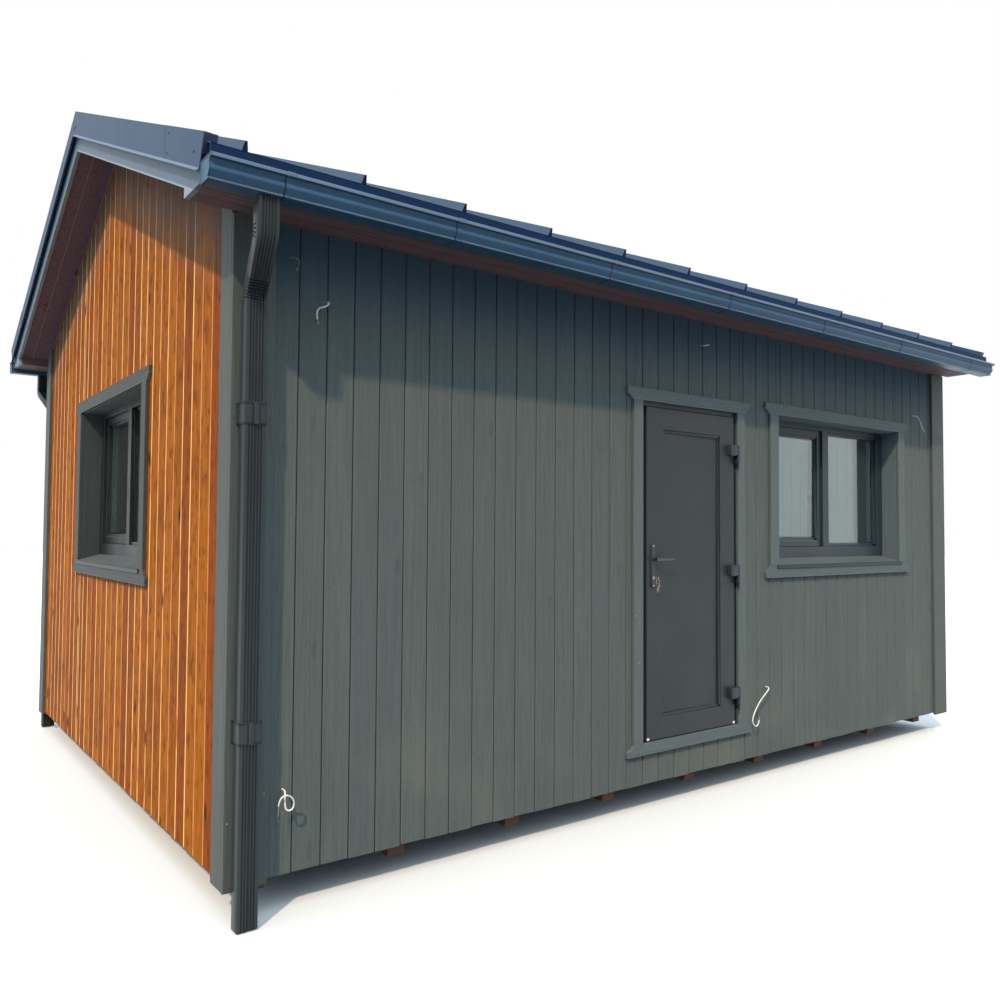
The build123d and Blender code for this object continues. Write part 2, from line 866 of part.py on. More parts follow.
def hinge_leaf_parts():
    """The upper barrel of each hinge, bored for the pin, on a block screwed to the leaf."""
    parts = []
    radius = barrel_diameter / 2
    block_end = leaf_end - hinge_clear
    for level in hinge_levels():
        z_top = level + hinge_height / 2
        z_low = z_top - hinge_height * hinge_upper_share + pin_gap
        barrel = upright(barrel_diameter, (z_low, z_top))
        body_x = (block_end - hinge_block_width, block_end)
        body = block(body_x, (hinge_y - radius, leaf_face), (z_low, z_top))
        arm = block((block_end, hinge_x), (hinge_y - radius, hinge_y + radius), (z_low, z_top))
        bore = upright(pin_diameter + 2 * pin_gap, (z_low - overrun, z_top - radius + pin_gap))
        parts.append(barrel + body + arm - bore)
    return parts


# Windows: made at the origin as (along, inward, up) and set into their walls
def set_in_walls(solid):
    """The same piece in the front wall and, turned, in the left gable."""
    in_front = Pos(window_start, front, window_foot) * solid
    in_gable = Pos(left, gable_window_end, window_foot) * Rot(0, 0, -90) * solid
    return [in_front, in_gable]


def in_both_walls(solids):
    return [placed for solid in solids for placed in set_in_walls(solid)]


def window_casings():
    y = (-casing_thickness, 0)
    x = (-casing_width, window_width + casing_width)
    head = prism_y(flared(x, (window_height, window_height + casing_head_height), trim_ear), y)
    apron = prism_y(flared(x, (0, -casing_apron_height), trim_ear), y)
    z = (mitre_gap, window_height - mitre_gap)
    jambs = [block((x[0], 0), y, z), block((window_width, x[1]), y, z)]
    return in_both_walls([head, apron] + jambs)


def window_linings():
    y = (0, reveal_depth)
    outer = block((0, window_width), y, (0, window_height))
    inner_x = (lining_thickness, window_width - lining_thickness)
    inner = block(inner_x, (-overrun, reveal_depth + overrun), (-overrun, window_height - lining_thickness))
    return in_both_walls([outer - inner])


def window_sills():
    """Folded metal sills that fall outward, with a turned-down nose wider than the opening."""
    t = sill_thickness
    board = -casing_thickness
    drop = sill_rise * (sill_reach - casing_thickness) / (reveal_depth + casing_thickness)
    bed = [(board, 0), (reveal_depth, sill_rise), (reveal_depth, sill_rise + t), (board, t)]
    nose = [
        (board, 0),
        (board, t),
        (-sill_reach, t - drop),
        (-sill_reach, -drop - sill_lip),
        (t - sill_reach, -drop - sill_lip),
        (t - sill_reach, -drop),
    ]
    inner_x = (lining_thickness, window_width - lining_thickness)
    sill = prism_x(bed, inner_x) + prism_x(nose, (-sill_ear, window_width + sill_ear))
    return in_both_walls([sill])


mullion_start = (window_width - mullion_width) / 2 + mullion_shift
sash_x = (frame_side_width, mullion_start)
fixed_x = (mullion_start + mullion_width, window_width - frame_side_width)
light_z = (frame_foot_height, window_height - frame_head_height)


def window_frames():
    y = (reveal_depth, reveal_depth + frame_depth)
    through = (y[0] - overrun, y[1] + overrun)
    outer = block((0, window_width), y, (0, window_height))
    return in_both_walls([outer - block(sash_x, through, light_z) - block(fixed_x, through, light_z)])


def shrunk(limits, amount):
    return (limits[0] + amount, limits[1] - amount)


def window_sashes():
    y = (reveal_depth + sash_recess, reveal_depth + sash_recess + sash_thickness)
    through = (y[0] - overrun, y[1] + overrun)
    outer = block(shrunk(sash_x, sash_gap), y, shrunk(light_z, sash_gap))
    return in_both_walls([outer - block(shrunk(sash_x, sash_width), through, shrunk(light_z, sash_width))])


def window_panes():
    y = (reveal_depth + pane_recess, reveal_depth + pane_recess + pane_thickness)
    sash_pane = block(shrunk(sash_x, sash_width), y, shrunk(light_z, sash_width))
    return in_both_walls([sash_pane, block(fixed_x, y, light_z)])


def window_handles():
    """The sash fasteners inside the room: a rose with a lever that hangs down when shut."""
    face = reveal_depth + sash_recess + sash_thickness
    x = sash_x[1] - sash_width / 2
    z = light_z[0] + (light_z[1] - light_z[0]) * handle_level_share
    half = handle_rose_width / 2
    rose_z = (z - handle_rose_height / 2, z + handle_rose_height / 2)
    rose = block((x - half, x + half), (face, face + handle_thickness), rose_z)
    stem_half = handle_thickness / 2
    stem_y = (face, face + handle_thickness + handle_stem)
    stem = block((x - stem_half, x + stem_half), stem_y, (z - stem_half, z + stem_half))
    grip_y = (stem_y[1] - handle_thickness, stem_y[1])
    grip = block((x - stem_half, x + stem_half), grip_y, (z - handle_length, z + stem_half))
    return in_both_walls([rose + stem + grip])


# Cable tails: left out of the boards where lamps and sockets are to be fitted
def cable_tail(place, level, route):
    points = [Vector(left + place + along, front - out, foot + level + up) for along, out, up in route]
    runs = [end - start for start, end in zip(points, points[1:])]
    radii = []
    for before, after in zip(runs, runs[1:]):
        half_turn = math.radians(before.get_angle(after)) / 2
        shorter = min(before.length, after.length)
        radii.append(cable_bend_share * shorter / math.tan(half_turn))
    path = FilletPolyline(*points, radius=radii)
    return sweep(Plane(origin=points[0], z_dir=runs[0]) * Circle(cable_diameter / 2), path=path)


os.makedirs("parts", exist_ok=True)
save("foundation_blocks", foundation_blocks())
save("floor_bearers", floor_bearers())
save("floor_platform", [floor_platform()])
save("front_wall_panels", front_wall_panels())
save("front_wall_infills", front_wall_infills())
save("back_wall", [back_wall()])
save("left_wall_panels", left_wall_panels())
save("left_wall_infills", left_wall_infills())
save("right_wall", [right_wall_panel()])
save("front_cladding", [front_cladding()])
save("back_cladding", [long_cladding(1)])
save("left_cladding", [left_cladding()])
save("right_cladding", [right_cladding()])
save("corner_boards", corner_boards())
for side, place in zip(sides, ("front", "back")):
    save(place + "_roof_deck", [roof_deck(side)])
    save(place + "_roof_sheet", [roof_sheet(side)])
    save(place + "_eave_soffit", [eave_soffit(side)])
    save(place + "_fascia", [fascia(side)])
    save(place + "_gutter", gutter(side))
    save(place + "_downpipe", [downpipe(side)])
save("left_gable_soffit", gable_soffit((deck_left, left + cladding_thickness)))
save("right_gable_soffit", gable_soffit((right - cladding_thickness, deck_right)))
save("left_barge_boards", barge_boards((barge_face_left, deck_left)))
save("right_barge_boards", barge_boards((deck_right, barge_face_right)))
save("left_barge_flashings", barge_flashings(verge_left, 1))
save("right_barge_flashings", barge_flashings(verge_right, -1))
save("ridge_cap", [ridge_cap()])
save("gutter_straps", gutter_straps())
save("downpipe_clips", downpipe_clips())
save("door_frame", [door_frame()])
save("door_trim", door_trim())
save("door_hinge_feet", hinge_frame_parts())
save("door_leaf", [door_leaf()])
save("door_panel", [door_panel()])
save("door_hinge_barrels", hinge_leaf_parts())
save("door_handle_plates", handle_plates())
save("door_lock_cylinder", [lock_cylinder()])
save("door_lever", [door_lever()])
save("window_casings", window_casings())
save("window_linings", window_linings())
save("window_sills", window_sills())
save("window_frames", window_frames())
save("window_sashes", window_sashes())
save("window_panes", window_panes())
save("window_handles", window_handles())
for number, ((place, level), route) in enumerate(zip(cable_exits, cable_routes), 1):
    save(f"cable_tail_{number}", [cable_tail(place, level, route)])
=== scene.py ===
import math
import random

import bmesh
import bpy
from mathutils import Matrix, Vector


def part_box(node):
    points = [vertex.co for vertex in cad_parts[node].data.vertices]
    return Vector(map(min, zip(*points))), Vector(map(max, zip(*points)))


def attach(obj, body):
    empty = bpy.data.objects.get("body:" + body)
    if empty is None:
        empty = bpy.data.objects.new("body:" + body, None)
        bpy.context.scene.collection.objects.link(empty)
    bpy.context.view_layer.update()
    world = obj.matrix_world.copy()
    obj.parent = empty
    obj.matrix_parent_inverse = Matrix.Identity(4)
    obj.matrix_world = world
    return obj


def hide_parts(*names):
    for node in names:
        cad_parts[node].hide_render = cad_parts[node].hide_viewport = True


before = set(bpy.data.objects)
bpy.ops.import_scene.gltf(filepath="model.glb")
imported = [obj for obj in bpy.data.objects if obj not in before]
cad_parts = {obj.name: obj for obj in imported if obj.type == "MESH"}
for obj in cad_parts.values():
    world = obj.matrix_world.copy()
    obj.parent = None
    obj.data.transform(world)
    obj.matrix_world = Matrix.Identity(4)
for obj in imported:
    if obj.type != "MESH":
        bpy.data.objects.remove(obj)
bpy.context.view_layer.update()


# Pads and floor bearers
# Cast concrete pads carry nine square timbers that run from front to back under the floor.
# The pads are rough cast; the bearers are sawn softwood with a red-brown stain.
def srgb(red, green, blue):
    """A colour as it looks on a screen, from 0 to 255, as linear light."""
    parts = []
    for value in (red, green, blue):
        share = value / 255
        parts.append(share / 12.92 if share <= 0.04045 else ((share + 0.055) / 1.055) ** 2.4)
    return (*parts, 1.0)


def add(tree, kind, inputs=None, **settings):
    """One shader node, with its settings, and its inputs set to values or linked to sockets."""
    node = tree.nodes.new(kind)
    for name, value in settings.items():
        setattr(node, name, value)
    for name, value in (inputs or {}).items():
        if isinstance(value, bpy.types.NodeSocket):
            tree.links.new(value, node.inputs[name])
        else:
            node.inputs[name].default_value = value
    return node


def new_finish(name, **values):
    """A material with its tree and its Principled shader, on which plain values are set."""
    material = bpy.data.materials.new(name)
    material.use_nodes = True
    shader = material.node_tree.nodes["Principled BSDF"]
    for key, value in values.items():
        shader.inputs[key.replace("_", " ")].default_value = value
    return material, material.node_tree, shader


def new_group(name, inputs, outputs):
    """An empty shader node group with named float, vector or colour sockets."""
    group = bpy.data.node_groups.new(name, "ShaderNodeTree")
    kinds = {"F": "NodeSocketFloat", "V": "NodeSocketVector", "C": "NodeSocketColor"}
    for kind, label, value in inputs:
        socket = group.interface.new_socket(label, in_out="INPUT", socket_type=kinds[kind])
        if value is not None:
            socket.default_value = value
    for kind, label in outputs:
        group.interface.new_socket(label, in_out="OUTPUT", socket_type=kinds[kind])
    return group, add(group, "NodeGroupInput"), add(group, "NodeGroupOutput")


def ramp(tree, value, low, high, start=0.0, end=1.0):
    """A value carried smoothly from one range to another."""
    limits = {"From Min": low, "From Max": high, "To Min": start, "To Max": end}
    node = add(tree, "ShaderNodeMapRange", {"Value": value, **limits}, interpolation_type="SMOOTHSTEP")
    return node.outputs["Result"]


def maths(tree, operation, first, second=0.0):
    """One step of arithmetic on sockets or plain numbers."""
    return add(tree, "ShaderNodeMath", {0: first, 1: second}, operation=operation).outputs[0]


def mixed(tree, share, first, second):
    """Two colours mixed by a share, each a socket or a plain colour."""
    return add(tree, "ShaderNodeMix", {0: share, 6: first, 7: second}, data_type="RGBA").outputs[2]


def object_place(tree):
    """The place on a piece, in metres."""
    return add(tree, "ShaderNodeTexCoord").outputs["Object"]


def axes_of(tree, vector):
    return add(tree, "ShaderNodeSeparateXYZ", {"Vector": vector}).outputs


def stretched(tree, place, scale):
    return add(tree, "ShaderNodeMapping", {"Vector": place, "Scale": scale}).outputs[0]


def noise(tree, place, scale, detail):
    return add(tree, "ShaderNodeTexNoise", {"Vector": place, "Scale": scale, "Detail": detail}).outputs[0]


def cells(tree, place, scale):
    """Distance from the nearest of many scattered points, and a chance number for that point."""
    points = add(tree, "ShaderNodeTexVoronoi", {"Vector": place, "Scale": scale}).outputs
    return points["Distance"], add(tree, "ShaderNodeSeparateColor", {"Color": points["Color"]}).outputs[0]


def bump(tree, shader, height, strength, distance):
    raised = add(tree, "ShaderNodeBump", {"Height": height, "Strength": strength, "Distance": distance})
    tree.links.new(raised.outputs[0], shader.inputs["Normal"])


def toned(colour, share):
    """A colour made darker or lighter by a share."""
    return tuple(min(1.0, share * part) for part in colour[:3]) + (1.0,)


def two_tone(name, roughness, scale, detail, dark, light):
    """A plain moulded or shaded surface, clouded between two tones."""
    material, tree, shader = new_finish(name, Roughness=roughness)
    cloud = noise(tree, object_place(tree), scale, detail)
    tree.links.new(mixed(tree, cloud, dark, light), shader.inputs["Base Color"])
    return material


def wood_figure():
    """Streaks of grain along Z, finer pores, and long knots, for a place in metres."""
    group, given, made = new_group(
        "wood figure",
        [("V", "Place", None), ("F", "Knots", 0.5)],
        [("F", "Grain"), ("F", "Knot"), ("F", "Height")],
    )
    place = given.outputs["Place"]
    wavy = add(group, "ShaderNodeTexNoise", {"Vector": place, "Scale": 3.0, "Detail": 2.0})
    sway = add(group, "ShaderNodeVectorMath", {0: wavy.outputs["Color"], 3: 0.02}, operation="SCALE")
    bent = add(group, "ShaderNodeVectorMath", {0: place, 1: sway.outputs[0]}, operation="ADD").outputs[0]
    streak = noise(group, stretched(group, bent, (95, 95, 2.2)), 1.0, 5.0)
    pore = noise(group, stretched(group, bent, (420, 420, 11)), 1.0, 2.0)
    from_knot, chance = cells(group, stretched(group, place, (7.3, 7.3, 2.6)), 1.0)
    some = maths(group, "LESS_THAN", chance, given.outputs["Knots"])
    knot = maths(group, "MULTIPLY", ramp(group, from_knot, 0.17, 0.05), some)
    coarse, fine = maths(group, "MULTIPLY", streak, 0.65), maths(group, "MULTIPLY", pore, 0.35)
    grain = maths(group, "ADD", coarse, fine)
    group.links.new(ramp(group, grain, 0.3, 0.7), made.inputs["Grain"])
    group.links.new(knot, made.inputs["Knot"])
    sunk = maths(group, "MULTIPLY", knot, 0.6)
    group.links.new(maths(group, "SUBTRACT", grain, sunk), made.inputs["Height"])
    return group


figure_group = wood_figure()


def figure_at(tree, place, knots):
    """The outputs of the wood figure at a place that runs along Z."""
    return add(tree, "ShaderNodeGroup", {"Place": place, "Knots": knots}, node_tree=figure_group).outputs


def place_along(tree, along):
    """The place on a piece, turned so that the wood's length, along X, Y or Z, runs along Z."""
    place = object_place(tree)
    turn = {"X": (0, math.pi / 2, 0), "Y": (math.pi / 2, 0, 0), "Z": (0, 0, 0)}[along]
    return add(tree, "ShaderNodeMapping", {"Vector": place, "Rotation": turn}).outputs[0]


def wood_finish(name, along, dark, light, knot_colour):
    """Stained timber, its figure running along one axis."""
    material, tree, shader = new_finish(name, Roughness=0.7)
    figure = figure_at(tree, place_along(tree, along), 0.4)
    stained = mixed(tree, figure["Grain"], dark, light)
    tree.links.new(mixed(tree, figure["Knot"], stained, knot_colour), shader.inputs["Base Color"])
    bump(tree, shader, figure["Height"], 0.25, 0.002)
    return material


def paint(node, material):
    """A finish for every face of a CAD node."""
    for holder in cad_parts[node].material_slots:
        holder.material = material


def cast_concrete():
    material, tree, shader = new_finish("cast concrete", Roughness=0.9)
    place = object_place(tree)
    cloud = noise(tree, place, 14.0, 8.0)
    from_pit, _ = cells(tree, place, 90.0)
    tone = mixed(tree, cloud, srgb(132, 130, 124), srgb(176, 173, 166))
    tree.links.new(tone, shader.inputs["Base Color"])
    bump(tree, shader, ramp(tree, from_pit, 0.0, 0.25), 0.4, 0.003)
    return material


paint("foundation_blocks", cast_concrete())
bearer_stain = wood_finish("bearer stain", "Y", srgb(74, 42, 30), srgb(112, 66, 46), srgb(46, 26, 20))
paint("floor_bearers", bearer_stain)


# Floor, framed walls and roof deck
# Panels of studs and boards, planed and unpainted inside, with the openings left between them.
# They show through the windows and the open door, and under the roof.
def lined_boards(name, along, across, cover, dark, light, joint_colour=srgb(58, 38, 24)):
    """Planed boards with a fine joint at every cover width across them."""
    material, tree, shader = new_finish(name, Roughness=0.65, Specular_IOR_Level=0.15)
    figure = figure_at(tree, place_along(tree, along), 0.35)
    axes = axes_of(tree, object_place(tree))
    step = maths(tree, "DIVIDE", axes[across], cover)
    part = maths(tree, "FRACT", step)
    from_edge = maths(tree, "MINIMUM", part, maths(tree, "SUBTRACT", 1.0, part))
    joint = ramp(tree, from_edge, 0.035, 0.01)
    tone = add(tree, "ShaderNodeTexWhiteNoise", {"W": maths(tree, "FLOOR", step)}, noise_dimensions="1D")
    planed = mixed(tree, figure["Grain"], dark, light)
    planed = mixed(tree, ramp(tree, tone.outputs["Value"], 0, 1, 0, 0.3), planed, dark)
    planed = mixed(tree, figure["Knot"], planed, srgb(112, 70, 38))
    shut = mixed(tree, joint, planed, joint_colour)
    tree.links.new(shut, shader.inputs["Base Color"])
    deep = maths(tree, "SUBTRACT", figure["Height"], maths(tree, "MULTIPLY", joint, 2.0))
    bump(tree, shader, deep, 0.3, 0.002)
    return material


lining_dark = srgb(176, 136, 92)
lining_light = srgb(206, 168, 122)
floor_finish = lined_boards("floor boards", "X", "Y", 0.121, srgb(150, 112, 72), srgb(184, 146, 100))
long_lining = lined_boards("long wall lining", "Z", "X", 0.096, lining_dark, lining_light)
end_lining = lined_boards("end wall lining", "Z", "Y", 0.096, lining_dark, lining_light)
roof_lining = lined_boards("ceiling lining", "X", "Y", 0.096, lining_dark, lining_light)
paint("floor_platform", floor_finish)
for node in ("front_wall_panels", "front_wall_infills", "back_wall"):
    paint(node, long_lining)
for node in ("left_wall_panels", "left_wall_infills", "right_wall"):
    paint(node, end_lining)
for node in ("front_roof_deck", "back_roof_deck"):
    paint(node, roof_lining)


# Wall cladding
# Upright tongued boards with chamfered edges, nailed over the framed walls to a 137.5 mm cover.
# The long walls are painted anthracite; the gables are stained, and bare wood shows on their edges.
house_left, house_right = -2.9925, 3.1425
house_front, house_back = -2.19, 2.19
cladding_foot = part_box("front_cladding")[0].z
wall_top = 3.002
roof_fall = 0.4257
gable_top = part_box("left_cladding")[1].z
board_cover = 0.1375
board_thickness = 0.020
tongue_lap, foot_stagger = 0.002, 0.006
least_part, least_width = 0.002, 0.004
door_hole = (-0.5622, 0.4168, 0.390, 2.486)
front_hole = (0.8229, 2.4189, 1.431, 2.469)
gable_hole = (-0.777, 0.819, 1.431, 2.469)


def board_tone():
    """A chance tone, a chance shift of the grain and the share across, for the board at a place."""
    group, given, made = new_group(
        "board tone",
        [("F", "Across wall", 0.0), ("F", "First joint", 0.0), ("F", "Cover", board_cover)],
        [("F", "Tone"), ("V", "Shift"), ("F", "Share")],
    )
    from_first = maths(group, "SUBTRACT", given.outputs["Across wall"], given.outputs["First joint"])
    step = maths(group, "DIVIDE", from_first, given.outputs["Cover"])
    chance = add(group, "ShaderNodeTexWhiteNoise", {"W": maths(group, "FLOOR", step)}, noise_dimensions="1D")
    shift = add(group, "ShaderNodeVectorMath", {0: chance.outputs["Color"], 3: 9.0}, operation="SCALE")
    group.links.new(chance.outputs["Value"], made.inputs["Tone"])
    group.links.new(shift.outputs[0], made.inputs["Shift"])
    group.links.new(maths(group, "FRACT", step), made.inputs["Share"])
    return group


tone_group = board_tone()


def board_figure(tree, across, first, knots):
    """The board tone and the wood figure for upright boards across X or Y, and the place."""
    place = object_place(tree)
    axes = axes_of(tree, place)
    laid = {"Across wall": axes[across], "First joint": first}
    tone = add(tree, "ShaderNodeGroup", laid, node_tree=tone_group).outputs
    moved = add(tree, "ShaderNodeVectorMath", {0: place, 1: tone["Shift"]}, operation="ADD")
    figure = figure_at(tree, moved.outputs[0], knots)
    return tone, figure, axes, place


def painted_boards(name, across, first):
    """Matt anthracite paint that shows grain and knots, with painted dark blue shade near the eave."""
    eave_shade_foot, eave_shade_top = 2.60, 2.95
    material, tree, shader = new_finish(name, Roughness=0.72, Specular_IOR_Level=0.3)
    tone, figure, axes, place = board_figure(tree, across, first, 0.6)
    coat = mixed(tree, figure["Grain"], srgb(82, 89, 87), srgb(98, 105, 102))
    coat = mixed(tree, ramp(tree, tone["Tone"], 0, 1, 0, 0.4), coat, srgb(82, 89, 90))
    sawn = noise(tree, place, 260.0, 3.0)
    coat = mixed(tree, ramp(tree, sawn, 0.46, 0.7, 0, 0.5), coat, srgb(68, 74, 74))
    coat = mixed(tree, ramp(tree, figure["Knot"], 0, 1, 0, 0.45), coat, srgb(70, 74, 73))
    cloud = noise(tree, place, 1.7, 4.0)
    dust = maths(tree, "MULTIPLY", ramp(tree, cloud, 0.45, 0.75), ramp(tree, axes["Z"], 1.2, 0.15))
    coat = mixed(tree, maths(tree, "MULTIPLY", dust, 0.35), coat, srgb(124, 120, 108))
    # Painted shade: the paint turns dark blue towards the eave, for the sky-lit shade under the overhang.
    coat = mixed(tree, ramp(tree, axes["Z"], eave_shade_foot, eave_shade_top, 0, 0.55), coat, srgb(40, 84, 116))
    tree.links.new(coat, shader.inputs["Base Color"])
    bump(tree, shader, figure["Height"], 0.35, 0.002)
    return material


def slope_level(tree, axes):
    """Height with the roof's fall made good, so that a line beside the roof slope has one level."""
    fallen = maths(tree, "MULTIPLY", maths(tree, "ABSOLUTE", axes["Y"]), roof_fall)
    return maths(tree, "ADD", axes["Z"], fallen)


def stained_boards(name, first):
    """Orange-brown stain that each board took differently, with dark knots and streaks, and a grey tone near
    the roof line that is weathering and painted shade.
    """
    weathered_and_shaded_depth = 0.55
    material, tree, shader = new_finish(name, Roughness=0.62, Specular_IOR_Level=0.05)
    tone, figure, axes, place = board_figure(tree, "Y", first, 0.9)
    red = mixed(tree, figure["Grain"], srgb(124, 58, 14), srgb(160, 82, 24))
    orange = mixed(tree, figure["Grain"], srgb(146, 78, 14), srgb(188, 112, 30))
    stain = mixed(tree, ramp(tree, tone["Tone"], 0.1, 0.9), red, orange)
    heart = noise(tree, place, 2.6, 3.0)
    stain = mixed(tree, ramp(tree, heart, 0.5, 0.75, 0, 0.5), stain, srgb(104, 46, 12))
    mottle = noise(tree, stretched(tree, place, (24.0, 24.0, 13.0)), 1.0, 5.0)
    stain = mixed(tree, ramp(tree, mottle, 0.48, 0.68, 0, 0.6), stain, srgb(96, 44, 10))
    # Painted shade with weathering: a grey streaked tone near the roof line, also standing for the blue-grey
    # shade under the verge.
    wet = noise(tree, stretched(tree, place, (70.0, 70.0, 1.6)), 1.0, 4.0)
    high = ramp(tree, slope_level(tree, axes), gable_top - weathered_and_shaded_depth, gable_top)
    worn = maths(tree, "MULTIPLY", high, ramp(tree, wet, 0.34, 0.56, 0.25, 0.9))
    stain = mixed(tree, worn, stain, srgb(122, 106, 100))
    stain = mixed(tree, figure["Knot"], stain, srgb(52, 24, 12))
    from_knot, chance = cells(tree, stretched(tree, place, (0.0, 8.0, 5.0)), 1.0)
    few = maths(tree, "LESS_THAN", chance, 0.6)
    pin_knot = maths(tree, "MULTIPLY", ramp(tree, from_knot, 0.15, 0.05, 0, 0.8), few)
    stain = mixed(tree, pin_knot, stain, srgb(70, 32, 12))
    tree.links.new(stain, shader.inputs["Base Color"])
    bump(tree, shader, figure["Height"], 0.3, 0.002)
    return material


def bare_edges(name, first):
    """The unstained edge of a board that has shrunk: pale yellow on most, stained over on some."""
    material, tree, shader = new_finish(name, Roughness=0.6)
    tone, figure, _, place = board_figure(tree, "Y", first - 0.5 * board_cover, 0.9)
    patch = noise(tree, place, 5.0, 3.0)
    covered = maths(tree, "ADD", ramp(tree, tone["Tone"], 0.3, 0.9, 0, 0.75), ramp(tree, patch, 0.5, 0.8))
    wood = mixed(tree, figure["Grain"], srgb(240, 188, 104), srgb(255, 216, 140))
    wood = mixed(tree, ramp(tree, covered, 0, 1), wood, srgb(196, 118, 56))
    wood = mixed(tree, figure["Knot"], wood, srgb(72, 38, 22))
    tree.links.new(wood, shader.inputs["Base Color"])
    return material


def placed(name, data):
    """A new object in the scene."""
    made = bpy.data.objects.new(name, data)
    bpy.context.scene.collection.objects.link(made)
    return made


def piece(bm, name, materials, body, replaced=(), round_angle=None):
    """A finished mesh as one visual piece on a body, in place of CAD nodes where it names them."""
    bmesh.ops.remove_doubles(bm, verts=bm.verts[:], dist=1e-6)
    bmesh.ops.recalc_face_normals(bm, faces=bm.faces[:])
    mesh = bpy.data.meshes.new(name)
    bm.to_mesh(mesh)
    bm.free()
    for material in materials:
        mesh.materials.append(material)
    if round_angle is not None:
        mesh.polygons.foreach_set("use_smooth", [True] * len(mesh.polygons))
        mesh.set_sharp_from_angle(angle=math.radians(round_angle))
    made = placed(name, mesh)
    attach(made, body)
    if replaced:
        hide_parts(*replaced)
    return made


def verts_in(geometry):
    return [part for part in geometry if isinstance(part, bmesh.types.BMVert)]


def faces_of(verts):
    return list(dict.fromkeys(face for vert in verts for face in vert.link_faces))


def edges_of(verts):
    return list(dict.fromkeys(edge for vert in verts for edge in vert.link_edges))


def finish_faces(faces, number):
    for face in faces:
        face.material_index = number


def push(bm, face, way):
    """A flat face carried along a vector into a closed block; gives back the new vertices."""
    moved = verts_in(bmesh.ops.extrude_face_region(bm, geom=[face])["geom"])
    bmesh.ops.translate(bm, vec=way, verts=moved)
    return moved


def next_ring(bm, edges):
    """A closed ring of edges drawn out once; gives back the new ring and its edges."""
    grown = bmesh.ops.extrude_edge_only(bm, edges=edges)["geom"]
    ring = verts_in(grown)
    is_edge = [part for part in grown if isinstance(part, bmesh.types.BMEdge)]
    return ring, [edge for edge in is_edge if all(vert in ring for vert in edge.verts)]


def join(bm, part):
    """A separate small mesh brought into a larger one."""
    mesh = bpy.data.meshes.new("part")
    part.to_mesh(mesh)
    part.free()
    bm.from_mesh(mesh)
    bpy.data.meshes.remove(mesh)


def ease(bm, edges, width, segments=1):
    """Edges bevelled round or flat."""
    bmesh.ops.bevel(
        bm, geom=edges, offset=width, offset_type="OFFSET", affect="EDGES",
        segments=segments, profile=0.5, material=-1, clamp_overlap=True,
    )


def without(start, end, foot, top, holes):
    """The parts of an upright strip that are left beside, under and over the holes."""
    parts = [(start, end, foot, top)]
    for low, high, sill, head in holes:
        left_over = []
        for a, b, z0, z1 in parts:
            if b <= low or a >= high or z1 <= sill or z0 >= head:
                left_over.append((a, b, z0, z1))
                continue
            c, d = max(a, low), min(b, high)
            beside = [(a, c, z0, z1), (d, b, z0, z1), (c, d, z0, sill), (c, d, head, z1)]
            left_over += [part for part in beside if min(part[1] - part[0], part[3] - part[2]) > least_part]
        parts = left_over
    return parts


def clad_wall(name, lay, run, first, top_at, holes, gap, chamfer, materials, node, seed):
    """One wall of boards: lay turns (across, in from the face, up) to a place on the wall."""
    chance = random.Random(seed)
    bm = bmesh.new()
    fronts = []
    count = math.ceil((run[1] - run[0]) / board_cover) + 1
    number = math.floor((run[0] - first) / board_cover)
    for step in range(number, number + count + 1):
        joint = first + step * board_cover
        foot = cladding_foot + chance.uniform(0.0, foot_stagger)
        board = (max(joint + gap / 2, run[0]), min(joint + board_cover - gap / 2, run[1]))
        half_tongue = gap / 2 + tongue_lap
        tongue = (max(joint - half_tongue, run[0]), min(joint + half_tongue, run[1]))
        for kind, (start, end) in enumerate((board, tongue)):
            if end - start < least_width:
                continue
            depth = (0.0, board_thickness) if kind == 0 else (0.5 * board_thickness, board_thickness)
            for a, b, z0, z1 in without(start, end, foot, wall_top if top_at is None else gable_top, holes):
                corners = bmesh.ops.create_cube(bm, size=2.0)["verts"]
                finish_faces(faces_of(corners), kind * (len(materials) - 1))
                if kind == 0:
                    fronts += [
                        edge for edge in edges_of(corners)
                        if all(v.co.y < 0 for v in edge.verts) and edge.verts[0].co.x == edge.verts[1].co.x
                    ]
                for corner in corners:
                    across = a if corner.co.x < 0 else b
                    up = z0 if corner.co.z < 0 else z1
                    if corner.co.z > 0 and top_at is not None:
                        up = min(z1, top_at(across))
                    corner.co = lay(across, depth[0] if corner.co.y < 0 else depth[1], up)
    ease(bm, fronts, chamfer)
    bmesh.ops.recalc_face_normals(bm, faces=bm.faces[:])
    if len(materials) == 3:
        for face in bm.faces:
            if face.material_index == 0 and face.normal.y < -0.35:
                face.material_index = 1
    return piece(bm, name, materials, "house", (node,))


def gable_slope(across):
    return gable_top - abs(across) * roof_fall


front_first = -2.7025
paint_gap, paint_chamfer = 0.005, 0.0035
stain_gap, stain_chamfer = 0.003, 0.006
gable_first = house_front + 0.13 - board_cover + 0.03
front_paint = painted_boards("front board paint", "X", front_first)
tongue_finish = two_tone("joint tongue", 0.85, 25.0, 3.0, srgb(28, 31, 32), srgb(58, 60, 58))
gable_stain = stained_boards("gable board stain", gable_first)
edge_finish = bare_edges("bare board edge", gable_first)
long_run = (house_left, house_right)
deep_run = (house_front, house_back)
for side, face, inward, holes, seed in (
    ("front", house_front, 1, (door_hole, front_hole), 3), ("back", house_back, -1, (), 5),
):
    clad_wall(
        side + "_boards", lambda across, depth, up: Vector((across, face + inward * depth, up)), long_run,
        front_first, None, holes, paint_gap, paint_chamfer, (front_paint, tongue_finish),
        side + "_cladding", seed,
    )
for side, face, inward, holes, seed in (
    ("left", house_left, 1, (gable_hole,), 7), ("right", house_right, -1, (), 9),
):
    clad_wall(
        side + "_boards", lambda across, depth, up: Vector((face + inward * depth, across, up)), deep_run,
        gable_first, gable_slope, holes, stain_gap, stain_chamfer, (gable_stain, edge_finish, tongue_finish),
        side + "_cladding", seed,
    )


